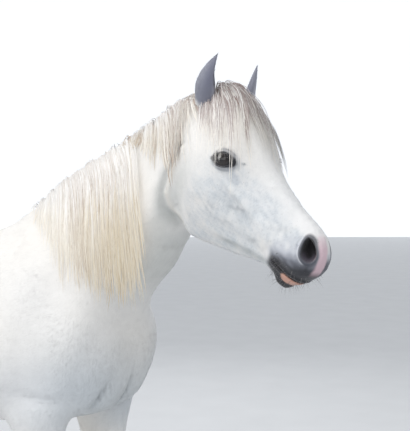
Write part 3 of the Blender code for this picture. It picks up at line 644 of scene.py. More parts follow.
def add_lids(shape, tree, side):
    """Opens the skin over an eye and rolls it in to two lids that close on the eyeball."""
    place = EYE_FRAMES[side]
    reach = 0.040
    loop = open_place(shape, place, (reach, reach), 0.05)
    angle, edge = loop_angles(loop, place)
    x, y = lid_outline(angle)
    rim = np.column_stack([x, y])
    away = unit(rim)
    top = np.clip(np.sin(angle), 0, 1)
    low = np.clip(-np.sin(angle), 0, 1)
    ball = EYE_RADIUS

    def on_ball(flat, radius):
        return np.sqrt(np.maximum(radius ** 2 - (flat ** 2).sum(axis=1), 0.0016 ** 2))

    rings = []
    outer = unit(edge) * (reach - 0.002)
    lid_out = 0.0030
    steps = np.concatenate([np.linspace(0.0, 0.35, 8), np.linspace(0.40, 0.97, 9)])
    for w in steps[::-1]:
        flat = rim * (1 - w) + outer * w + away * 0.0016 * (1 - w)
        gap = np.linalg.norm(flat - rim, axis=1)
        lid = on_ball(flat, ball + lid_out) + 0.0016 * top
        base = heights(tree, place, flat, 0.02)
        h = lid * (1 - ease(w, 0.12, 0.62)) + base * ease(w, 0.12, 0.62)
        h -= top * 0.0034 * bump(gap, 0.0085, 0.0020) - top * 0.0022 * bump(gap, 0.0130, 0.004)
        h -= low * 0.0018 * bump(gap, 0.0080, 0.0018) - low * 0.0010 * bump(gap, 0.0045, 0.002)
        h -= low * 0.0010 * bump(gap, 0.0125, 0.0016)
        h -= 0.0016 * bump(gap, 0.0030, 0.0010) * ease(np.cos(angle), 0.75, 0.98)
        rings.append(np.column_stack([flat, h]))
    # the lid's edge, turning in to close on the eyeball
    for past, over in ((0.0009, 0.0025), (0.0002, 0.0016), (-0.0003, 0.0004),
                       (-0.0008, 0.0004), (-0.0016, -0.0012)):
        flat = rim + away * past
        rings.append(np.column_stack([flat, on_ball(flat, ball + over)]))
    for share, drop in ((0.85, 0.004), (0.55, 0.006)):
        flat = rim * share
        rings.append(np.column_stack([flat, on_ball(flat, ball) - drop]))
    fill_rings(shape, loop, rings, place, (0, 0, ball - 0.008))


def nostril_outline(angle):
    """The nostril's opening: x down and forward along it, y across. It is wider below."""
    c, s = np.cos(angle), np.sin(angle)
    x = 0.0290 * c
    y = 0.0180 * s * (1 + 0.34 * c - 0.10 * c * c)
    return x - 0.002 - 0.002 * s, y + 0.0025 * c


def add_nostril(shape, tree, side):
    """Opens the skin and rolls it in over a thick rim to a nostril's hollow."""
    place = NOSTRIL_FRAMES[side]
    reach = (0.041, 0.034)
    loop = open_place(shape, place, reach, 0.030)
    angle, edge = loop_angles(loop, place)
    x, y = nostril_outline(angle)
    rim = np.column_stack([x, y])
    away = unit(np.column_stack([np.cos(angle) / 0.027, np.sin(angle) / 0.0165]))
    outer = edge * 0.95
    rear = np.clip(-np.sin(angle), 0, 1)     # towards the cheek
    rings = []
    base_rim = heights(tree, place, rim, 0.0)
    level = base_rim.mean()
    for w in np.linspace(0.94, 0.0, 12):
        flat = rim * (1 - w) + outer * w + away * 0.0022 * (1 - w)
        gap = np.linalg.norm(flat - rim, axis=1)
        base = heights(tree, place, flat, level)
        h = base + 0.0034 * bump(gap, 0.0028, 0.0040) * (0.45 + 0.65 * rear)
        h -= 0.0022 * bump(gap, 0.0115, 0.0028) * rear
        rings.append(np.column_stack([flat, h]))
    top = base_rim + 0.0032 * (0.45 + 0.65 * rear)
    for inward, sink in ((0.0010, 0.0004), (0.0, 0.0016), (-0.0008, 0.0034)):
        flat = rim + away * inward
        rings.append(np.column_stack([flat, top - sink]))
    lean = np.array([-0.30, 0.42])
    for share, depth in ((0.93, 0.008), (0.86, 0.013), (0.74, 0.019), (0.56, 0.025),
                         (0.30, 0.029)):
        flat = rim * share + lean * depth * 0.6
        rings.append(np.column_stack([flat, np.full(len(rim), level * share - depth)]))
    bottom = (*(lean * 0.031 * 0.6), level * 0.3 - 0.031)
    fill_rings(shape, loop, rings, place, bottom)


def finish_skin(skin, tree):
    shape = bmesh.new()
    shape.from_mesh(skin.data)
    for side in (-1, 1):
        add_lids(shape, tree, side)
        add_nostril(shape, tree, side)
    bmesh.ops.recalc_face_normals(shape, faces=shape.faces)
    bmesh.ops.triangulate(shape, faces=[f for f in shape.faces if len(f.verts) > 4])
    shape.to_mesh(skin.data)
    shape.free()
    skin.data.shade_smooth()


# ---------------------------------------------------------------- markings
def lid_gap(p, side):
    """Distance from the lid rim, and the angle round it."""
    e = placed(EYE_FRAMES[side].inverted(), p)
    angle = np.arctan2(e[:, 1] / 0.75, e[:, 0])
    x, y = lid_outline(angle)
    d = np.linalg.norm(e[:, :2], axis=1) - np.hypot(x, y)
    return np.where(e[:, 2] > -0.02, d, 1.0), angle, e


# the neck's underline from the breast to the jaw: x, z of the straight model
THROAT_X = np.linspace(0.36, 0.63, 40)
THROAT_Z = np.interp(THROAT_X, (0.358, 0.403, 0.448, 0.490, 0.528, 0.566, 0.616),
                     (1.130, 1.185, 1.240, 1.296, 1.352, 1.409, 1.461))
THROAT = from_straight(np.column_stack([THROAT_X, 0 * THROAT_X, THROAT_Z]))

# painted shade along the fold above the lower jaw, in the head's frame, to the corner of the
# mouth: x, z
JAW_SHADE = np.array([(0.235, -0.262), (0.290, -0.240), (0.340, -0.217), (0.395, -0.195),
                     (0.424, -0.181)])

# grey spots on the cheek and over the bars: x, z, their radii, strength
SPOTS = ((0.215, -0.195, 0.030, 0.012, 0.16), (0.286, -0.138, 0.020, 0.006, 0.45),
         (0.279, -0.188, 0.018, 0.008, 0.22), (0.360, -0.170, 0.010, 0.006, 0.38),
         (0.405, -0.092, 0.022, 0.010, 0.22), (0.120, -0.045, 0.012, 0.009, 0.34),
         (0.220, -0.052, 0.004, 0.003, 0.60))

# shade in the breast's groove, between breast and arm, and under the breast
BREAST_SHADES = (((0.32, 0.0, 0.865), (0.09, 0.010, 0.060), 0.50),
                 ((0.26, 0.104, 0.880), (0.05, 0.014, 0.055), 0.36),
                 ((0.22, 0.0, 0.820), (0.10, 0.090, 0.022), 0.30))


class Marks:
    """Points of skin or coat, their places in the head's frame and their colour so far."""

    def __init__(self, p):
        self.p, self.head = p, in_head(p)
        self.on_head = ease(self.head[:, 0], -0.02, 0.05) * ease(self.head[:, 2], -0.42, -0.34)
        self.broad, self.fine, self.salt = wobble(p, 14, 5), wobble(p, 90, 6), wobble(p, 330, 12)
        self.colour = mix(COAT, COAT_WARM, 0.30 + 0.25 * self.broad)
        self.snip = 0.0

    def tint(self, colour, share):
        """Mixes in a linear colour or a tuple of screen levels."""
        colour = srgb(*colour) if isinstance(colour, tuple) else colour
        self.colour = mix(self.colour, colour, np.clip(share, 0, 1))


def coat_marks(m):
    """The uneven white coat, cool grey on the side of the face, with painted shade below the face
    crest and under the throat.
    """
    (x, _, z), p, fine, salt, broad = m.head.T, m.p, m.fine, m.salt, m.broad
    m.tint(COAT_COOL, 0.10 + 0.10 * wobble(p, 5, 8))
    cool = m.on_head * ease(x, 0.10, 0.20) * (1 - ease(z, -0.075, -0.045))
    m.tint(COAT_COOL, cool * (0.55 + 0.18 * fine + 0.16 * salt))
    grains = np.clip(0.7 * wobble(p, 1300, 14) + 0.3 * salt + 0.15 * fine - 0.10, 0, 1)
    m.tint((158, 163, 168), 0.34 * grains * np.maximum(cool, 0.25 * m.on_head))
    # painted shade in the groove below the face crest
    crest = bump(x, 0.285, 0.055) * bump(z, -0.142, 0.016) * m.on_head
    m.tint((150, 156, 160), 0.24 * crest * (1 + 0.5 * fine))
    # painted shade: greenish grey along the neck's underline, stopping at the head
    away = np.linalg.norm(p[:, None, ::2] - THROAT[None, :, ::2], axis=2).min(axis=1)
    under = (1 - ease(away + 0.010 * broad, 0.020, 0.125)) * ease(p[:, 2], 1.08, 1.28)
    m.tint((184, 189, 187), 0.55 * under * (1 - ease(x, 0.09, 0.15) * ease(z, -0.41, -0.34)))


def cheek_marks(m):
    """Painted shade behind the jowl and a painted highlight on its edge, painted shade along the
    jaw's fold, and the grey spots.
    """
    (x, y, z), fine = m.head.T, m.fine
    _, gap = line_gap(m.head[:, ::2], JOWL)
    side = ease(np.abs(y), 0.012, 0.030) * ease(z, -0.40, -0.34)
    # painted shade just behind the jowl's edge, then a painted highlight on the edge itself
    m.tint((160, 165, 164), 0.42 * side * bump(gap, -0.016, 0.015))
    m.tint(COAT_WARM, 0.45 * side * bump(gap, 0.009, 0.009))
    # painted shade along the fold above the lower jaw
    run, gap = line_gap(m.head[:, ::2], JAW_SHADE)
    jaw_shade = bump(gap + 0.003 * fine, 0.0, 0.009) * ease(run, 0.02, 0.30) * m.on_head
    m.tint((140, 147, 146), 0.36 * jaw_shade * (1 + 0.5 * fine))
    for sx, sz, rx, rz, share in SPOTS:
        m.tint((128, 133, 138), share * m.on_head * bump(x + 0.004 * fine, sx, rx)
               * bump(z - 0.5 * (x - sx), sz, rz) * (1 + 0.5 * m.salt))


def body_marks(m):
    """Painted cool shade on the breast and low on the body, painted shade in the breast's grooves,
    and grey joints and pasterns.
    """
    q, up = m.p - SHIFT, m.p[:, 2]
    # painted shade: cool grey low on the body, most on the breast, fading out down the legs
    low = (1 - ease(up + 0.02 * m.broad, 0.86, 1.16)) * (0.25 + 0.75 * ease(q[:, 0], 0.06, 0.28))
    m.tint((170, 182, 191), 0.58 * low * ease(up, 0.66, 0.80))
    for (cx, cy, cz), (rx, ry, rz), share in BREAST_SHADES:
        near = bump(q[:, 0], cx, rx) * bump(np.abs(q[:, 1]), cy, ry) * bump(q[:, 2], cz, rz)
        m.tint((126, 134, 140), share * near)
    for height, reach in ((0.43, 0.05), (0.20, 0.035), (0.56, 0.05)):
        m.tint((186, 188, 192), 0.35 * bump(up, height, reach) * (1 - ease(up, 0.62, 0.75)))
    m.tint((178, 176, 176), 0.5 * (1 - ease(up, 0.055, 0.10)))


def muzzle_marks(m):
    """Light grey flecks, then slate and near-black towards the lips, and the pink snip."""
    (x, y, z), fine, salt, broad = m.head.T, m.fine, m.salt, m.broad
    ahead = 0.60 * x - 0.80 * z + 0.006 * fine + 0.004 * broad + 0.0035 * salt
    on_nose = ease(x + 0.6 * np.minimum(z + 0.150, 0), 0.385, 0.425)
    bare = on_nose * (1 - bump(y, -0.003, 0.018) * ease(z, -0.09, -0.055))
    m.tint((176, 180, 190), 0.80 * bare * ease(ahead, 0.320, 0.364))
    m.tint(SLATE, 0.85 * bare * ease(ahead, 0.352, 0.390))
    m.tint(LIP_BLACK, 0.92 * bare * ease(ahead, 0.376, 0.404))
    off = z - mouth_line(x)
    lip = ease(x, 0.414, 0.430) * (1 - ease(np.abs(off + 0.002), 0.010, 0.022))
    m.tint(LIP_BLACK, 0.95 * lip)
    m.tint(LIP_BLACK, 0.75 * (ease(x, 0.43, 0.47) * (1 - ease(z, -0.165, -0.150))))
    m.tint(COAT, 0.95 * (bump(x, 0.411, 0.008) * bump(off, -0.001, 0.014)))
    edge = np.abs(y + 0.009 + 0.002 * broad) + 0.0022 * fine + 0.0008 * salt
    snip = (1 - ease(edge, 0.0085, 0.0150)) * ease(x + 0.5 * (y + 0.009), 0.448, 0.482)
    m.snip = snip = snip * ease(z + 0.004 * fine, -0.128, -0.104)
    m.tint(mix(COAT, SNIP_PINK, ease(x + 0.004 * fine, 0.462, 0.505)), 0.90 * snip)
    rim = ease(y, -0.001, 0.004) * ease(x, 0.482, 0.498) * (1 - ease(z, -0.086, -0.066))
    m.tint(SLATE * 0.7, 0.9 * rim)
    pale = (1 - ease(edge, 0.016, 0.026)) * (1 - ease(x, 0.452, 0.480)) * ease(x, 0.38, 0.42)
    m.tint(COAT, 0.8 * pale * ease(z, -0.09, -0.06))


def nostril_marks(m):
    for side in (-1, 1):
        q = placed(NOSTRIL_FRAMES[side].inverted(), m.p)
        angle = np.arctan2(q[:, 1] / 0.0165, q[:, 0] / 0.027)
        gap = np.linalg.norm(q[:, :2], axis=1) - np.hypot(*nostril_outline(angle))
        near = (np.abs(q[:, 2]) < 0.035).astype(float)
        rear = np.clip(-np.sin(angle), 0, 1)
        dark = 1 - ease(gap, 0.004, 0.012 - 0.004 * rear)
        m.tint(SLATE * 0.6, 0.85 * near * dark * (1 - 0.75 * m.snip))
        # a pale line on the rim's outer fold behind the opening: partly light hair, partly a
        # painted highlight
        m.tint((206, 208, 214), 0.75 * (near * bump(gap, 0.0072, 0.0016) * ease(rear, 0.35, 0.75)))
        # painted shade: near-black in the nostril's hollow, a little paler towards its lower end
        low = ease(np.cos(angle), -0.2, 0.8) * ease(gap, -0.016, -0.004)
        m.tint(mix(NOSTRIL_BLACK, srgb(92, 86, 98), 0.8 * low),
               near * (1 - ease(gap, -0.004, 0.0022)) * (q[:, 2] < 0.03))


def lip_marks(m):
    """Pink on the lower lip, right of the middle, and painted shade in the slit between the lips.
    """
    x, y, z = m.head.T
    off = z - mouth_line(x)
    far = np.hypot((x - 0.497 - 0.25 * (z + 0.172)) / 0.026, (z + 0.1715) / 0.0125)
    patch = (1 - ease(far + 0.10 * m.fine, 0.80, 1.10)) * (off < -0.003)
    m.tint(LIP_PINK, 0.95 * patch * (y < 0.006))
    # painted shade: near-black in the slit between the lips
    inner = ease(x, 0.43, 0.44) * (1 - ease(np.abs(off), 0.0022, 0.0040))
    m.tint(NOSTRIL_BLACK, inner * (x < 0.56) * (z > -0.2))


def eye_marks(m):
    """Dark lids with painted shade in the crease above, in a grey ring that runs on below the
    inner corner, partly a painted shadow under the lower lid.
    """
    for side in (-1, 1):
        gap, angle, e = lid_gap(m.p, side)
        near = (np.linalg.norm(e, axis=1) < 0.07).astype(float)
        lowered = np.clip(-np.sin(angle), 0, 1)
        inner, outer = bump(angle, -0.25, 0.50), bump(np.abs(angle), math.pi, 0.36)
        wide = 0.0038 + 0.0040 * inner + 0.0066 * outer - 0.0006 * lowered
        # a grey ring of bare skin round the eye; its wider part below the eye is a painted shadow
        # of the lower lid
        ring = 1 - ease(gap, 0.006 + 0.006 * lowered, 0.017 + 0.014 * inner)
        m.tint((120, 124, 134), 0.55 * near * ring)
        streak = bump(e[:, 0] - 0.8 * (-0.030 - e[:, 1]), 0.030, 0.012)
        m.tint((172, 178, 188), 0.40 * near * (streak * ease(-e[:, 1], 0.008, 0.03)))
        # painted shade in the crease above the eye
        crease = bump(gap, 0.0100, 0.0018) * ease(np.sin(angle), 0.25, 0.75)
        m.tint((96, 98, 108), 0.45 * near * crease)
        m.tint(LID_DARK, 0.96 * near * (1 - ease(gap, wide * 0.75, wide * 1.8)))


def ear_marks(m):
    """Grey backs with paler front edges and darker tips, and the paler inside."""
    for side in (-1, 1):
        q = placed(ear_frame(side).inverted(), m.p)
        t = np.clip((q[:, 2] + EAR_SUNK) / (EAR_LENGTH + EAR_SUNK), 0, 1)
        outer, wall, bow, deep = ear_section(t, side)
        away = np.hypot((q[:, 0] + bow) / deep, q[:, 1] + EAR_HOOK * t ** 1.7)
        level = ease(q[:, 2] + 0.006 * m.fine + 0.004 * m.salt, -0.036, -0.010)
        inside = 1 - ease(away - outer + wall, 0.0004, 0.0022)
        back = mix(EAR_GREY, EAR_EDGE, 0.75 * ease(q[:, 0], 0.001, 0.012))
        back = mix(back, srgb(112, 114, 132), 0.7 * bump(q[:, 0], -0.010, 0.010)
                   * bump(q[:, 2], 0.045, 0.035))
        back = mix(back, srgb(110, 110, 126), 0.4 * ease(q[:, 2], 0.07, 0.108))
        m.tint(mix(back, EAR_INSIDE, 0.8 * inside), level * (away < 0.046))


def markings(p):
    """The colour of skin and coat at points."""
    marks = Marks(p)
    for add in (coat_marks, cheek_marks, body_marks, muzzle_marks, nostril_marks, lip_marks,
                eye_marks, ear_marks):
        add(marks)
    return np.clip(marks.colour, 0.0, 1.0)


def fur_share(p):
    """How furry the surface is: none in nostrils, on lips and lid rims."""
    h = in_head(p)
    share = np.ones(len(p))
    share *= 1 - ease(h[:, 0], 0.44, 0.50) * (1 - bump(h[:, 1], 0, 0.02)) * 0.8
    for side in (-1, 1):
        share *= ease(lid_gap(p, side)[0], 0.003, 0.008)
    return share


# ---------------------------------------------------------------- hair solids
def hair_solids(name, paths, across, outward, widths, thick, colours, roots):
    """Tapered closed strands. paths, across and outward are (strand, ring, 3), widths and
    thick (strand, ring), colours (strand, ring, 3) and roots the bake places (strand, 2).
    The last ring is the tip."""
    n, k = paths.shape[:2]
    sides = 3
    turn = 2 * math.pi * (np.arange(sides) + 0.25) / sides
    c, s = np.cos(turn), np.sin(turn)
    rings = (paths[:, :-1, None]
             + across[:, :-1, None] * (widths[:, :-1, None] * c / 2)[..., None]
             + outward[:, :-1, None] * (thick[:, :-1, None] * s / 2)[..., None])
    body = rings.reshape(n, -1, 3)
    points = np.concatenate([body, paths[:, -1:]], axis=1)
    each = points.shape[1]
    last = np.arange(sides) + (k - 2) * sides
    tips = np.column_stack([last, np.roll(last, -1), np.full(sides, each - 1)])
    shift = (np.arange(n) * each)[:, None, None]
    groups = [(faces + shift).reshape(-1, faces.shape[1])
              for faces in (tube_faces(k - 2, sides), tips, np.arange(sides)[None, ::-1])]
    facing = np.cross(across, outward)
    along = np.diff(paths, axis=1)
    if (facing[:, :-1] * along).sum() < 0:
        groups = [g[:, ::-1] for g in groups]
    obj = new_piece(name, points.reshape(-1, 3), groups)
    round_ = (across[:, :-1, None] * c[:, None] + outward[:, :-1, None] * s[:, None]) * 0.45
    soft = (outward[:, :-1, None] + round_).reshape(n, -1, 3)
    soft = unit(np.concatenate([soft, outward[:, -1:]], axis=1))
    obj.data.normals_split_custom_set_from_vertices(soft.reshape(-1, 3).tolist())
    colours = np.concatenate([np.repeat(colours[:, :-1], sides, axis=1), colours[:, -1:]], axis=1)
    paint(obj, colours.reshape(-1, 3))
    u = np.tile(np.arange(sides) / sides, k - 1)
    v = np.repeat(np.arange(k - 1) / (k - 1), sides)
    patch_map(obj, roots, np.column_stack([np.append(u, 0.5), np.append(v, 1.0)]))
    return obj


def spread_roots(places):
    """Bake places that fill the map, from places on an unwrap of the skin."""
    places = np.asarray(places, float)
    low, high = places.min(axis=0), places.max(axis=0)
    return 0.004 + (places - low) / np.maximum(high - low, 1e-9) * 0.988


def side_axes(paths, normals):
    """Across and outward axes of strands from their line and the skin's normals."""
    along = unit(np.gradient(paths, axis=1))
    across = unit(np.cross(along, normals))
    return across, np.cross(across, along)


def fall(tree, start, aim, length, steps, lift, stiff, pull, root, follow=0.0):
    """A hair's line: it leaves along aim, falls, and stays lift outside the skin. It stands
    off by root more near its root. Follow carries it forward as it slides off the side."""
    p, d = Vector(start), Vector(aim).normalized()
    size = length / steps
    line, normals = [p.copy()], [tree.find_nearest(p)[1]]
    for k in range(steps):
        hold = stiff if k else 0.97
        d = (d * hold + pull * (1 - hold)).normalized()
        before = p.copy()
        p = p + d * size
        at, normal, _, _ = tree.find_nearest(p)
        t = (k + 1.0) / steps
        need = lift * min(1.0, (k + 1.0) / 3) + root * min(1.0, t * 8) * max(0.0, 1 - 1.6 * t)
        out = (p - at).dot(normal)
        if out < need:
            p = at + normal * need
        p.x += follow * max(0.0, before.y - p.y)
        d = (p - before).normalized()
        line.append(p.copy())
        normals.append(normal.lerp(normals[-1], 0.5).normalized())
    return line, normals


def lock_strands(line, normals, count, width, spread, seed, merge, curl, uneven=0.25):
    """Strands that share one guide line and draw together at its tip."""
    r = np.random.default_rng(seed)
    line = np.array(line)
    along = unit(np.gradient(line, axis=0))
    nor = unit(np.array(normals))
    across = unit(np.cross(along, nor))
    outward = np.cross(across, along)
    t = np.linspace(0, 1, len(line))
    a, o = r.normal(0, 0.5, count), np.abs(r.normal(0, 0.35, count))
    phase = r.uniform(0, 2 * math.pi, count)
    fan = spread * (1 - merge * t ** 1.5)
    wave = curl * np.sin(2 * math.pi * (1.5 * t[None]) + phase[:, None]) * t[None]
    side = a[:, None] * fan[None] + wave
    out = o[:, None] * fan[None] * 0.55
    cut = 1 - uneven * r.uniform(0, 1, count)
    paths = (line[None] + across[None] * side[..., None] + outward[None] * out[..., None])
    # a shorter strand stops early along its own line
    grid = t[None] * cut[:, None]
    index = grid * (len(line) - 1)
    low = np.minimum(index.astype(int), len(line) - 2)
    f = (index - low)[..., None]
    rows = np.arange(count)[:, None]
    paths = paths[rows, low] * (1 - f) + paths[rows, low + 1] * f
    ax = across[low] * (1 - f) + across[low + 1] * f
    ox = outward[low] * (1 - f) + outward[low + 1] * f
    profile = np.minimum(1.0, 0.55 + 2.2 * grid) * (1 - 0.82 * t[None] ** 3)
    w = width * r.uniform(0.6, 1.3, count)[:, None] * profile
    return paths, unit(ax), unit(ox), w


def hair_piece(name, lock, tint, count, strands, width, spread, seed, lock_seeds, thick=0.55,
               jitter=0.002, **style):
    """A piece of long hair. lock(r, i) gives a lock's line, its normals, how dark each strand
    is, a mark and its bake place. tint(t, tones, marks, r) gives the colours along strands."""
    r = np.random.default_rng(seed)
    parts, tones, marks, places = [], [], [], []
    for i in range(count):
        line, normals, tone, mark, place = lock(r, i)
        parts.append(lock_strands(line, normals, strands, width, spread,
                                  seed * lock_seeds + i, **style))
        tones.append(tone)
        marks.append(np.full(strands, mark))
        places.append(np.tile(place, (strands, 1)) + r.uniform(-jitter, jitter, (strands, 2)))
    paths, across, outward, widths = (np.concatenate(column) for column in zip(*parts))
    t = np.tile(np.linspace(0, 1, paths.shape[1]), (len(paths), 1))
    colours = tint(t, np.concatenate(tones), np.concatenate(marks), r)
    return hair_solids(name, paths, across, outward, widths, widths * thick, colours,
                       spread_roots(np.concatenate(places)))


def streaks(r, strands, level, spread, pale):
    """How dark each strand of a lock is: three in ten are pale."""
    white = r.uniform(0, 1, strands) < 0.30
    return np.where(white, pale, np.clip(r.normal(level, spread, strands), 0, 1))


def hair_tone(t, tone, r, ends=HAIR_CREAM):
    """Colour along a strand: pale root, streaks, cream end."""
    c = mix(HAIR_WHITE, ends, ease(t, 0.25, 0.85))
    c = mix(c, HAIR_BROWN, np.clip(tone[:, None] * (0.35 + 0.65 * ease(t, 0.05, 0.5)), 0, 1))
    return c * r.uniform(0.95, 1.05, (len(tone), 1, 1))


# ---------------------------------------------------------------- mane, forelock, tail
# By x on the straight crest: lock length, lean forward, how thickly locks grow, extra lift
MANE = np.array([
    (-0.020, 0.05, 0.03, 0.00, 0.000), (0.005, 0.10, 0.05, 0.06, 0.000),
    (0.025, 0.18, 0.12, 0.30, 0.002), (0.050, 0.26, 0.12, 0.50, 0.006),
    (0.085, 0.38, 0.11, 0.95, 0.008), (0.140, 0.43, 0.08, 1.00, 0.006),
    (0.200, 0.48, 0.06, 1.05, 0.004), (0.250, 0.52, 0.06, 1.15, 0.003),
    (0.285, 0.50, 0.09, 1.00, 0.002), (0.300, 0.42, 0.11, 0.55, 0.002),
    (0.318, 0.12, 0.08, 0.20, 0.004), (0.385, 0.09, 0.06, 0.30, 0.006),
    (0.415, 0.18, 0.16, 0.42, 0.010), (0.450, 0.25, 0.24, 0.50, 0.014),
    (0.500, 0.27, 0.28, 0.55, 0.012), (0.535, 0.25, 0.28, 0.46, 0.006),
    (0.560, 0.10, 0.08, 0.22, 0.004), (0.665, 0.06, 0.05, 0.16, 0.000)])


def along_mane(x, column):
    return float(np.interp(x, MANE[:, 0], MANE[:, column]))


def mane_hair(tree, name, count, strands, width, spread, lifts, seed, tone_at):
    """Locks from the crest that fall on the right side of the neck."""
    grid = np.linspace(MANE[0, 0], MANE[-1, 0], 800)
    total = np.cumsum(np.interp(grid, MANE[:, 0], MANE[:, 3]))

    def lock(r, i):
        share = (i + r.uniform(0, 1)) / count
        x = float(np.interp(share * total[-1], total, grid))
        y = float(r.uniform(-0.014, 0.010))
        crest = np.interp(x, CREST[:, 0], CREST[:, 1])
        above = Vector(from_straight([(x, y, crest + 0.20)])[0])
        at, normal, _, _ = tree.ray_cast(above, Vector((0, 0, -1)))
        length, lean, extra = (along_mane(x, column) for column in (1, 2, 4))
        length *= 1.08 - 0.42 * r.uniform(0, 1) ** 1.6
        lift = r.uniform(*lifts)
        aim = Vector((0.30 + lean, -0.72 + y * 8, 0.66)) + Vector(r.normal(0, 0.12, 3))
        pull = Vector((lean + r.normal(0, 0.04), 0.0, -1.0))
        line, normals = fall(tree, at - normal * 0.009, aim, length, steps=17, lift=lift,
                             stiff=0.62, pull=pull, root=extra * r.uniform(0.5, 1.2),
                             follow=0.16)
        wave = 0.5 + 0.5 * math.sin(x * 120 + 3 * math.sin(x * 31))
        level = tone_at * (0.5 + 0.9 * wave) + r.normal(0.06, 0.16)
        wither = 0.25 + 0.75 * float(ease(x, 0.04, 0.10))
        tone = streaks(r, strands, level, 0.18, 0.04) * wither
        return line, normals, tone, x, (x, y + r.uniform(-0.004, 0.004))

    def tint(t, tone, x, r):
        colour = hair_tone(t, tone, r)
        upper = ease(x, 0.38, 0.42)[:, None] * ease(t, 0.05, 0.3)
        dark = upper * (0.10 + 0.8 * tone[:, None]) * ease(x, 0.43, 0.52)[:, None]
        colour = mix(colour, HAIR_MAUVE, np.clip(dark, 0, 1))
        yellow = bump(x, 0.24, 0.12)[:, None] * ease(t, 0.45, 0.85)
        return mix(colour, HAIR_YELLOW, yellow * r.uniform(0.25, 0.85, (len(tone), 1)))

    return hair_piece(name, lock, tint, count, strands, width, spread, seed, 7919,
                      merge=0.55, curl=0.0030, uneven=0.32)


def forelock_hair(tree, name, count, strands, width, spread, lifts, seed, reach=1.0):
    """Locks that fan from the poll over the forehead."""
    spin = HEAD.to_3x3()

    def lock(r, i):
        fan = (i + r.uniform(0, 1)) / count * 2 - 1        # -1 to the right, 1 to the left
        x0 = -0.006 + 0.030 * r.uniform(0, 1) - 0.012 * abs(fan)
        y0 = fan * 0.046 + r.normal(0, 0.004)
        above = Vector(placed(HEAD, [(x0, y0, 0.10)])[0])
        at, normal, _, _ = tree.ray_cast(above, spin @ Vector((0, 0, -1)))
        aim = spin @ Vector((0.80, fan * 0.80 + r.normal(0, 0.06), 0.95))
        stray = i % 13 == 4
        length = 0.298 - 0.045 * abs(fan + 0.2)
        length *= r.uniform(0.62, 1.08) + 0.30 * stray
        if fan < -0.15 and not stray:
            length *= 0.80                                 # clear of the eye
        pull = spin @ Vector((0.78, fan * 0.22 + r.normal(0, 0.05), -0.64))
        stand = (0.007 + 0.024 * float(bump(fan, -0.18, 0.36))) * r.uniform(0.6, 1.1)
        line, normals = fall(tree, at - normal * 0.003, aim, length * reach, steps=15,
                             lift=r.uniform(*lifts), stiff=0.74, pull=pull, root=stand)
        return line, normals, streaks(r, strands, 0.80, 0.20, 0.06), fan, (x0, y0)

    def tint(t, tone, _, r):
        colour = mix(HAIR_WHITE * 0.97, HAIR_CREAM, 0.6 * ease(t, 0.45, 0.8))
        middle = ease(t, 0.05, 0.26) * (1 - 0.90 * ease(t, 0.60, 0.88))
        colour = mix(colour, HAIR_MAUVE, np.clip(middle * (0.02 + 0.98 * tone[:, None]), 0, 1))
        return colour * r.uniform(0.95, 1.05, (len(tone), 1, 1))

    return hair_piece(name, lock, tint, count, strands, width, spread, seed, 6151,
                      merge=0.62, curl=0.0018, uneven=0.45)


# Dock of the tail: x, z of the straight model, from root to end
DOCK = np.array([(-0.985, 1.268), (-1.035, 1.258), (-1.085, 1.205), (-1.112, 1.130),
                 (-1.125, 1.040), (-1.128, 0.960)])


# Back line of the hanging tail: z from low to high, x
TAIL_Z = (0.33, 0.44, 0.60, 0.78, 0.96, 1.11, 1.205, 1.27)
TAIL_X = (-1.120, -1.130, -1.138, -1.14, -1.135, -1.118, -1.085, -1.0)


def tail_hair(name, count, strands, width, spread, seed):
    """Locks from all along the dock that hang round a full middle to a thin end."""
    steps = 18

    def lock(r, i):
        share = ((i + r.uniform(0, 1)) / count) ** 0.9
        x, z = (np.interp(share * (len(DOCK) - 1), range(len(DOCK)), DOCK[:, k]) for k in (0, 1))
        turn = r.uniform(-math.pi, math.pi)
        side, depth = math.sin(turn), -math.cos(turn)
        start = np.array([x, 0, z]) + SHIFT
        start += np.array([-0.2 * abs(depth), side, 0.4]) * (0.016 * (1 - 0.5 * share))
        bottom = 0.345 + 0.16 * r.uniform(0, 1) ** 2 + 0.05 * abs(side)
        line = []
        for t in np.arange(steps + 1) / steps:
            z = start[2] - (start[2] - bottom) * t
            z += 0.02 * math.sin(math.pi * min(1, t * 4)) * (share < 0.3)
            belly = math.sin(math.pi * min(1.0, 0.12 + 0.88 * t) ** 0.8)
            half = (0.020 + 0.032 * belly) * (1 - 0.35 * t ** 3)
            x = SHIFT[0] + np.interp(z, TAIL_Z, TAIL_X) + depth * half * 0.80
            grow = ease(t, 0.0, 0.18)
            at = start * (1 - grow) + np.array([x, SHIFT[1] + side * half, z]) * grow
            at[2] = z
            at[:2] += 0.004 * np.array([math.sin(9 * t + i), math.cos(7 * t + 2 * i)]) * t
            line.append(at)
        normals = np.tile((depth, side, 1e-3), (steps + 1, 1))
        tone = np.clip(r.normal(0.26, 0.20, strands) + r.normal(0, 0.10), 0, 1)
        return line, normals, tone, 0.0, (share, turn / 6)

    def tint(t, tone, _, r):
        return hair_tone(t, tone, r, mix(HAIR_CREAM, HAIR_YELLOW, 0.25))

    return hair_piece(name, lock, tint, count, strands, width, spread, seed, 4241, thick=0.6,
                      jitter=0.01, merge=0.3, curl=0.003)


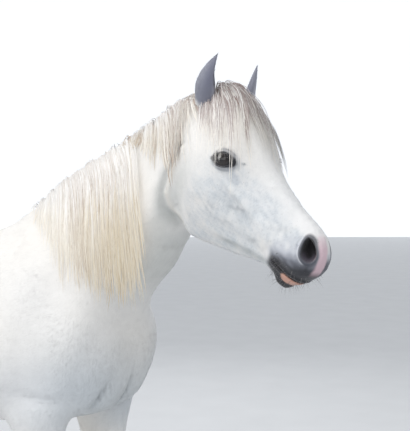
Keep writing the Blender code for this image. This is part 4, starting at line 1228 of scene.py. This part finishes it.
# ---------------------------------------------------------------- the short coat
def surface_samples(skin, density, seed):
    """Random places on the skin: points, normals, by a density per square metre."""
    r = np.random.default_rng(seed)
    mesh = skin.data
    mesh.calc_loop_triangles()
    corners = read(mesh.loop_triangles, "vertices", 3, np.int32)
    p, n = points_of(skin), normals_of(skin)
    a, b, c = (p[corners[:, k]] for k in range(3))
    area = np.linalg.norm(np.cross(b - a, c - a), axis=1) / 2
    want = area * density((a + b + c) / 3)
    count = r.poisson(want)
    chosen = np.repeat(np.arange(len(corners)), count)
    u, v = r.uniform(0, 1, (2, len(chosen)))
    over = u + v > 1
    u, v = np.where(over, 1 - u, u), np.where(over, 1 - v, v)
    w = np.column_stack([1 - u - v, u, v])[..., None]
    tri = corners[chosen]
    return (p[tri] * w).sum(axis=1), unit((n[tri] * w).sum(axis=1))


def coat_flow(p, n):
    """The way the hair lies at each place."""
    h = in_head(p)
    head = (ease(h[:, 0], -0.02, 0.10) * ease(h[:, 2], -0.42, -0.34))[:, None]
    spin = np.array(HEAD)[:3, :3]
    leg = (1 - ease(p[:, 2], 0.62, 0.90))[:, None]
    neck = ease(p[:, 0], 0.15, 0.45)[:, None]
    body = np.array([-1.0, 0, -0.45]) * (1 - neck) + np.array([-0.55, 0, -0.9]) * neck
    body = body * (1 - leg) + np.array([-0.15, 0, -1.0]) * leg
    face = spin @ np.array([0.80, 0, -0.35])
    d = body * (1 - head) + face * head
    for side in (-1, 1):
        e = placed(ear_frame(side).inverted(), p)
        on = (ease(e[:, 2], 0.0, 0.02) * (np.linalg.norm(e[:, :2], axis=1) < 0.05))[:, None]
        d = d * (1 - on) + (np.array(ear_frame(side))[:3, 2]) * on
    return unit(d - n * (d * n).sum(axis=1)[:, None])


def coat_place(p):
    """Where a point lies on an unwrap of the skin: round the body and along it."""
    h = placed(HEAD_BACK, p)
    q = p - SHIFT
    round_body = np.arctan2(q[:, 1], q[:, 2] - 1.10) / (2 * math.pi) + 0.5
    body = np.column_stack([q[:, 0] / 1.9, round_body])
    round_head = np.arctan2(h[:, 1], h[:, 2] + 0.13) / (2 * math.pi) + 0.5
    head = np.column_stack([h[:, 0] * 2.0, round_head])
    return body, head


def coat_tufts(skin, name, density, size, seed, unwrap):
    """Thin flat tufts over part of the skin, each a closed wedge of four faces."""
    r = np.random.default_rng(seed)
    p, n = surface_samples(skin, density, seed)
    d = coat_flow(p, n)
    side = np.cross(n, d)
    yaw = r.normal(0, 0.16, len(p))[:, None]
    d = unit(d + side * yaw)
    side = np.cross(n, d)
    length, width, rise = size(p, r)
    base = p - n * (rise * 0.5)[:, None]
    left = base + side * (width / 2)[:, None]
    right = base - side * (width / 2)[:, None]
    ridge = p + d * (length * 0.35)[:, None] + n * rise[:, None]
    tip = p + d * length[:, None] + n * (rise * 0.6)[:, None]
    points = np.stack([left, right, ridge, tip], axis=1).reshape(-1, 3)
    start = np.arange(len(p))[:, None] * 4
    faces = [start + f for f in ([[0, 2, 3]], [[2, 1, 3]], [[0, 3, 1]], [[0, 1, 2]])]
    obj = new_piece(name, points, [np.vstack(faces)])
    tone = markings(p) * r.uniform(0.93, 1.05, (len(p), 1))
    paint(obj, np.repeat(np.clip(tone, 0, 1), 4, axis=0))
    soft = np.repeat(n, 4, axis=0)
    obj.data.normals_split_custom_set_from_vertices(soft.tolist())
    patch_map(obj, spread_roots(coat_place(p)[unwrap]),
              np.array([(0, 0), (1, 0), (0.5, 0.4), (0.5, 1)]))
    return obj


# ---------------------------------------------------------------- eyes, lashes, hooves
def eye_ball(side):
    """The eyeball with a bulging cornea, a brown iris and a level pupil."""
    place = EYE_FRAMES[side]
    bpy.ops.object.select_all(action="DESELECT")
    bpy.ops.mesh.primitive_uv_sphere_add(segments=72, ring_count=48, radius=EYE_RADIUS)
    ball = bpy.context.object
    ball.name = ("left" if side > 0 else "right") + "_eyeball"
    p = points_of(ball)
    off = np.linalg.norm(p[:, :2], axis=1)
    front = p[:, 2] > 0
    cornea = np.where(front, 0.0016 * (1 - ease(off, 0.0, 0.0165)), 0.0)
    flat = p * (1 + cornea / EYE_RADIUS)[:, None]
    iris = np.where(front, 1 - ease(off, 0.0140, 0.0158), 0.0)
    off_pupil = (p[:, 0] / 0.0082) ** 2 + (p[:, 1] / 0.0046) ** 2
    pupil = np.where(front, 1 - ease(off_pupil, 0.75, 1.15), 0.0)
    fibre = 0.5 + 0.5 * np.sin(np.arctan2(p[:, 1], p[:, 0]) * 31 + off * 900)
    colour = mix(srgb(30, 25, 24), srgb(24, 16, 13), iris)
    colour = mix(colour, srgb(40, 27, 19), 0.5 * iris * fibre * ease(off, 0.005, 0.013))
    colour = mix(colour, srgb(5, 5, 9), pupil)
    rim = np.where(front, ease(off, 0.0132, 0.0156), 0.0)
    colour = mix(colour, srgb(16, 12, 12), 0.9 * rim)
    set_points(ball, placed(place, flat))
    if side > 0:
        ball.data.flip_normals()
    alone(ball)
    bpy.ops.object.shade_smooth()
    paint(ball, colour, "Eye")
    return ball


def stiff_hairs(name, paths, normals, width, colours, places):
    """Single tapering hairs of one colour each."""
    across, outward = side_axes(paths, normals)
    rings = paths.shape[1]
    widths = width * np.linspace(1, 0.1, rings)[None] * np.ones((len(paths), 1))
    colours = np.clip(np.repeat(np.array(colours)[:, None], rings, axis=1), 0, 1)
    return hair_solids(name, paths, across, outward, widths, widths, colours,
                       spread_roots(places))


def eye_lashes():
    """Upper lashes, and a few shorter hairs below each eye."""
    r = np.random.default_rng(77)
    paths, normals, colours, places = [], [], [], []
    for side in (-1, 1):
        place = EYE_FRAMES[side]
        for i in range(130):
            share = r.uniform(0.04, 0.96)
            upper = i < 100
            x, y = lid_outline(math.pi * share * (1 if upper else -1))
            root = np.array([x, y]) * (1.07 if upper else 1.10)
            h = math.sqrt((EYE_RADIUS + 0.0042) ** 2 - root @ root)
            length = (0.017 - 0.006 * abs(share - 0.45)) * r.uniform(0.7, 1.1)
            length *= 1.0 if upper else 0.55
            out = np.array([root[0] * 14, root[1] * 10 - (0.14 if upper else -0.02), 0.80])
            out = unit(out + r.normal(0, 0.13, 3))
            droop = np.array([0, -1.0, 0.1]) if upper else np.array([0, -0.6, 0.0])
            line = [np.array([*root, h])]
            for _ in range(5):
                line.append(line[-1] + out * length / 5)
                out = unit(out + droop * 0.12)
            paths.append(placed(place, line))
            normals.append(np.tile(np.array(place)[:3, 1], (6, 1)))
            colours.append(r.uniform(0.6, 1.3)
                           * (srgb(60, 56, 58) if upper else srgb(150, 148, 146)))
            places.append(r.uniform(0, 1, 2))
    return stiff_hairs("lashes", np.array(paths), np.array(normals), 0.0006, colours, places)


def muzzle_whiskers(skin):
    """Long sparse whiskers on lips and chin."""
    r = np.random.default_rng(5)

    def density(p):
        h = in_head(p)
        return 9000 * (ease(h[:, 0], 0.41, 0.46) * (1 - ease(h[:, 2], -0.150, -0.110)))

    p, n = surface_samples(skin, density, 41)
    flow = unit(n + 0.4 * r.normal(size=n.shape))
    length = r.uniform(0.010, 0.030, len(p))[:, None]
    t = np.linspace(0, 1, 6)[:, None]
    sag = np.array([0, 0, -1.0])
    paths = np.stack([a + d * s * t + sag * s * 0.30 * t ** 2
                      for a, d, s in zip(p, flow, length)])
    normals = np.repeat(np.cross(flow, [0.3, 0.5, 0.8])[:, None], 6, 1)
    dark = r.uniform(0, 1, len(p)) < 0.4
    colours = np.where(dark[:, None], srgb(60, 58, 60), srgb(170, 168, 166))
    return stiff_hairs("whiskers", paths, normals, 0.00055, colours,
                       placed(HEAD_BACK, p)[:, :2])


def hoof_horn(leg):
    """A hoof with growth rings, widening to its flat sole."""
    low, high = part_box(leg + "_hoof")
    middle_y, half_width = (low.y + high.y) / 2, (high.y - low.y) / 2
    x0 = low.x + 0.0435                       # middle of the coronet, from the heel
    top_middle, slope, half_long, half_wide = 0.054, 0.38, 0.0425, 0.0405
    tucked, sole_edge = 0.006, 0.0025
    count, levels = 56, 26
    points = []
    for k in range(levels + 1):
        down = -0.10 + 1.10 * k / levels
        for a in 2 * math.pi * np.arange(count) / count:
            c, s = math.cos(a), math.sin(a)
            reach = high.x - x0 if c > 0 else x0 - low.x
            long = half_long + (reach - half_long) * max(down, 0) - tucked * (down < 0)
            wide = half_wide + (half_width - half_wide) * max(down, 0) - tucked * (down < 0)
            ridge = 0.00045 * math.sin(down * 46 + 1.2 * c) * (down > 0.04) * (1 - down ** 6)
            quarter = 1 - 0.03 * (c < -0.4)
            bulge = 0.0012 * math.exp(-((down - 0.05) / 0.06) ** 2)
            top = top_middle + slope * half_long * c
            z = top * (1 - down) if k < levels else 0.0
            grow = ridge + bulge - sole_edge * (k == levels)
            points.append((x0 + c * (long + grow), middle_y + s * (wide + grow) * quarter, z))
    caps = np.array([np.arange(count), (levels + 1) * count - 1 - np.arange(count)])
    obj = new_piece(leg + "_horn", points, [tube_faces(levels, count)[:, [0, 3, 2, 1]], caps])
    face_out(obj)
    obj.data.set_sharp_from_angle(angle=math.radians(40))
    return obj


# ---------------------------------------------------------------- materials
def new_material(name, roughness, **sockets):
    made = bpy.data.materials.new(name)
    made.use_nodes = True
    shader = made.node_tree.nodes["Principled BSDF"]
    shader.inputs["Roughness"].default_value = roughness
    for key, value in sockets.items():
        shader.inputs[key.replace("_", " ")].default_value = value
    return made, made.node_tree, shader


def node(tree, kind, links=(), **values):
    made = tree.nodes.new(kind)
    for key, value in values.items():
        if key in made.inputs:
            made.inputs[key].default_value = value
        else:
            setattr(made, key, value)
    for socket, source in links:
        tree.links.new(source, made.inputs[socket])
    return made


def mix_node(tree, blend, share, a, b):
    made = tree.nodes.new("ShaderNodeMix")
    made.data_type, made.blend_type = "RGBA", blend
    for socket, value in (("Factor", share), ("A", a), ("B", b)):
        target = [s for s in made.inputs if s.name == socket and s.enabled][0]
        if hasattr(value, "is_linked"):
            tree.links.new(value, target)
        else:
            target.default_value = value
    return [s for s in made.outputs if s.enabled][0]


def noise(tree, vector, scale, detail):
    return node(tree, "ShaderNodeTexNoise", [("Vector", vector)], Scale=scale,
                Detail=detail).outputs["Fac"]


def object_place(tree, stretch=None):
    place = node(tree, "ShaderNodeTexCoord").outputs["Object"]
    if stretch is None:
        return place
    return node(tree, "ShaderNodeMapping", [("Vector", place)], Scale=stretch).outputs["Vector"]


def uneven(tree, colour, fac, low, high):
    """A colour made darker and lighter, from low to high, by a noise."""
    share = node(tree, "ShaderNodeMapRange", [("Value", fac)],
                 **{"To Min": low, "To Max": high}).outputs["Result"]
    return mix_node(tree, "MULTIPLY", 1.0, colour, share)


def relief(tree, shader, height, strength, distance):
    made = node(tree, "ShaderNodeBump", [("Height", height)], Strength=strength,
                Distance=distance)
    tree.links.new(made.outputs["Normal"], shader.inputs["Normal"])


def two_tone(tree, fac, dark, light, start=0.0, end=1.0):
    ramp = tree.nodes.new("ShaderNodeValToRGB")
    for stop, colour, at in zip(ramp.color_ramp.elements, (dark, light), (start, end)):
        stop.color, stop.position = (*colour, 1), at
    tree.links.new(fac, ramp.inputs["Fac"])
    return ramp.outputs["Color"]


def painted(name, roughness, layer, scale, detail, low, high, stretch=None, **sockets):
    """A material of the painted colours in a layer, made uneven by a noise."""
    made, tree, shader = new_material(name, roughness, **sockets)
    colour = node(tree, "ShaderNodeAttribute", attribute_name=layer).outputs["Color"]
    fac = noise(tree, object_place(tree, stretch), scale, detail)
    colour = uneven(tree, colour, fac, low, high)
    tree.links.new(colour, shader.inputs["Base Color"])
    return made, tree, shader, colour


def skin_material():
    made, tree, shader, colour = painted(
        "grey_coat", 0.62, "Coat", 55.0, 3.0, 0.93, 1.06,
        Specular_IOR_Level=0.32, Sheen_Weight=0.25, Sheen_Roughness=0.5)
    place = object_place(tree)
    specks = node(tree, "ShaderNodeMapRange", [("Value", noise(tree, place, 420.0, 1.0))],
                  **{"From Min": 0.735, "From Max": 0.82}).outputs["Result"]
    colour = mix_node(tree, "MIX", specks, colour, (0.30, 0.29, 0.29, 1.0))
    tree.links.new(colour, shader.inputs["Base Color"])
    height = node(tree, "ShaderNodeMath", [(0, noise(tree, place, 900.0, 2.0)),
                                           (1, noise(tree, place, 140.0, 3.0))], operation="ADD")
    relief(tree, shader, height.outputs["Value"], 0.22, 0.0012)
    return made


def hair_material():
    return painted("long_hair", 0.46, "Coat", 420.0, 2.0, 0.92, 1.14, (1.0, 1.0, 0.08),
                   Specular_IOR_Level=0.45, Sheen_Weight=0.15, Subsurface_Weight=0.30,
                   Subsurface_Radius=(1.0, 0.9, 0.8), Subsurface_Scale=0.012)[0]


def coat_material():
    return painted("short_coat", 0.60, "Coat", 300.0, 1.0, 0.94, 1.05,
                   Specular_IOR_Level=0.25, Sheen_Weight=0.3)[0]


def eye_material():
    return painted("wet_eye", 0.05, "Eye", 260.0, 2.0, 0.7, 1.3,
                   Specular_IOR_Level=0.5, Coat_Weight=0.5, Coat_Roughness=0.03)[0]


def horn_material():
    made, tree, shader = new_material("hoof_horn", 0.42)
    growth = noise(tree, object_place(tree, (6.0, 6.0, 260.0)), 1.0, 2.0)
    grain = noise(tree, object_place(tree, (420.0, 420.0, 16.0)), 1.0, 2.0)
    rings = two_tone(tree, growth, srgb(76, 68, 63), srgb(116, 106, 97), 0.3, 0.75)
    tree.links.new(uneven(tree, rings, grain, 0.7, 1.2), shader.inputs["Base Color"])
    relief(tree, shader, grain, 0.25, 0.0008)
    return made


# ---------------------------------------------------------------- stage
def stage_sheet(name, roughness, scale, detail, dark, light, glow):
    """Finishes the new plane as a part of the stage."""
    sheet = bpy.context.object
    sheet.name = name
    bpy.ops.object.transform_apply(location=True, rotation=True, scale=True)
    made, tree, shader = new_material("pale_" + name, roughness, Emission_Strength=glow)
    colour = two_tone(tree, noise(tree, object_place(tree), scale, detail), dark, light)
    for socket in ("Base Color", "Emission Color"):
        tree.links.new(colour, shader.inputs[socket])
    sheet.data.materials.append(made)


# Each light: place, aim, width and height, watts, colour
PANELS = {
    "key_panel": ((-1.3, -2.1, 4.2), (0.4, 0.0, 1.3), (3.0, 2.6), 80, (1.0, 0.985, 0.965)),
    "front_panel": ((2.8, -2.6, 4.2), (0.6, 0.0, 1.3), (3.0, 3.0), 26, (0.96, 0.98, 1.0)),
    "camera_panel": ((0.9, -4.6, 2.4), (0.5, 0.0, 1.3), (5.0, 3.0), 40, (1.0, 1.0, 1.0)),
    "back_panel": ((-1.0, 3.6, 3.4), (0.0, 0.0, 1.2), (3.0, 2.4), 40, (1.0, 1.0, 1.0)),
    "window_panel": ((-2.27, -1.49, 3.75), (0.84, -0.23, 1.54), (3.2, 2.4), 110,
                     (0.97, 0.985, 1.0)),
}
CAMERA_AT = Vector((1.342, -1.960, 1.42)) + Vector(SHIFT)
CAMERA_AZIMUTH = math.radians(22)
CAMERA_DIP = 5.5 / 750                  # metres down for each metre ahead
CAMERA_LENS, SENSOR_WIDTH = 62.65, 36.0


def place_toward(obj, place, way):
    obj.location = place
    obj.rotation_mode = "QUATERNION"
    obj.rotation_quaternion = way.to_track_quat("-Z", "Y")
    bpy.context.scene.collection.objects.link(obj)


def stage():
    bpy.ops.object.select_all(action="DESELECT")
    bpy.ops.mesh.primitive_plane_add(size=80.0, location=(0, 0, 0))
    stage_sheet("floor", 0.85, 3.0, 2.0, (0.62, 0.63, 0.64), (0.68, 0.69, 0.70), 0.08)
    bpy.ops.mesh.primitive_plane_add(size=1.0, location=(-12.5, 35.0, 14.0),
                                     rotation=(math.radians(90), 0, math.radians(22)))
    bpy.context.object.scale = (70.0, 30.0, 1.0)
    stage_sheet("backdrop", 0.9, 0.2, 1.0, (0.76, 0.78, 0.80), (0.80, 0.81, 0.83), 0.75)

    world = bpy.data.worlds.new("studio")
    world.use_nodes = True
    back = world.node_tree.nodes["Background"]
    back.inputs["Color"].default_value = (0.60, 0.62, 0.65, 1.0)
    back.inputs["Strength"].default_value = 0.95
    bpy.context.scene.world = world

    for name, (place, aim, size, power, colour) in PANELS.items():
        lamp = bpy.data.lights.new(name, "AREA")
        lamp.shape, (lamp.size, lamp.size_y) = "RECTANGLE", size
        lamp.energy, lamp.color = power, colour
        place_toward(bpy.data.objects.new(name, lamp), place, Vector(aim) - Vector(place))
    bpy.data.objects["window_panel"].visible_diffuse = False      # it only adds gloss

    camera = bpy.data.cameras.new("camera")
    camera.sensor_width, camera.lens = SENSOR_WIDTH, CAMERA_LENS
    eye = bpy.data.objects.new("camera", camera)
    place_toward(eye, CAMERA_AT, Vector((-math.sin(CAMERA_AZIMUTH), math.cos(CAMERA_AZIMUTH),
                                         -CAMERA_DIP)))
    bpy.context.scene.camera = eye
    bpy.context.scene.view_settings.view_transform = "Standard"


# ---------------------------------------------------------------- the short coat, in pieces
def head_share(p):
    h = in_head(p)
    return ease(h[:, 0], -0.05, -0.02) * ease(h[:, 2], -0.42, -0.38)


def body_share(p):
    return (1 - head_share(p)) * ease(p[:, 2], 0.72, 0.76)


def body_size(p, r):
    """Length, width and rise of the tufts on the body."""
    k = len(p)
    return r.uniform(0.009, 0.016, k), r.uniform(0.0016, 0.0026, k), r.uniform(0.00020, 0.00042, k)


def leg_size(p, r):
    return tuple(v * 0.8 for v in body_size(p, r))


def face_size(p, r):
    k = len(p)
    small = 1 - 0.5 * ease(in_head(p)[:, 0], 0.30, 0.46)
    return (r.uniform(0.0045, 0.0075, k) * small, r.uniform(0.0008, 0.0013, k) * small,
            r.uniform(0.00010, 0.00020, k))


COAT_PARTED = -0.30
# Each piece: tufts per square metre at points, their size, the seed, and the unwrap that it
# is laid out on, 0 the body's and 1 the head's
COATS = {
    "coat_quarters": (lambda p: 36000 * body_share(p) * (p[:, 0] < COAT_PARTED),
                      body_size, 61, 0),
    "coat_shoulders": (lambda p: 28500 * body_share(p) * (p[:, 0] >= COAT_PARTED),
                       body_size, 64, 0),
    "coat_legs": (lambda p: 30000 * (1 - ease(p[:, 2], 0.72, 0.76)), leg_size, 62, 0),
    "coat_head": (lambda p: 95000 * head_share(p) * fur_share(p), face_size, 63, 1),
}


# ---------------------------------------------------------------- the pony
def main():
    stage()
    skin = base_form()
    sculpt_body(skin)
    sculpt_head(skin)
    tree = tree_of(skin)
    add_ears(skin)
    finish_skin(skin, tree)
    paint(skin, markings(points_of(skin)))
    keep(skin, skin_material(), FLESH + ["left_ear", "right_ear"])
    whole = tree_of(skin)

    wet = eye_material()
    for side, name in ((-1, "right_eye"), (1, "left_eye")):
        keep(eye_ball(side), wet, [name])
    long_hair = hair_material()
    keep(eye_lashes(), long_hair)
    keep(muzzle_whiskers(skin), long_hair)
    horn = horn_material()
    for leg in LEGS:
        keep(hoof_horn(leg), horn, [leg + "_hoof"])

    hair = [
        keep(mane_hair(whole, "mane_under", count=150, strands=5, width=0.0070, spread=0.020,
                       lifts=(0.002, 0.010), seed=21, tone_at=0.60),
             long_hair, ["mane"]),
        keep(mane_hair(whole, "mane_strands", count=280, strands=7, width=0.0026, spread=0.014,
                       lifts=(0.006, 0.018), seed=22, tone_at=0.34),
             long_hair),
        keep(forelock_hair(tree, "forelock_under", count=60, strands=5, width=0.0042,
                           spread=0.012, lifts=(0.002, 0.005), seed=31, reach=0.72),
             long_hair, ["forelock"]),
        keep(forelock_hair(tree, "forelock_strands", count=120, strands=9, width=0.0017,
                           spread=0.013, lifts=(0.004, 0.011), seed=32),
             long_hair),
        keep(tail_hair("tail_hair", count=220, strands=7, width=0.0045, spread=0.016, seed=51),
             long_hair, ["tail"]),
    ]
    for piece in hair:
        piece.visible_shadow = False          # thin light hair lets the light through

    short = coat_material()
    for name, (density, size, seed, unwrap) in COATS.items():
        keep(coat_tufts(skin, name, density, size, seed, unwrap), short)


main()
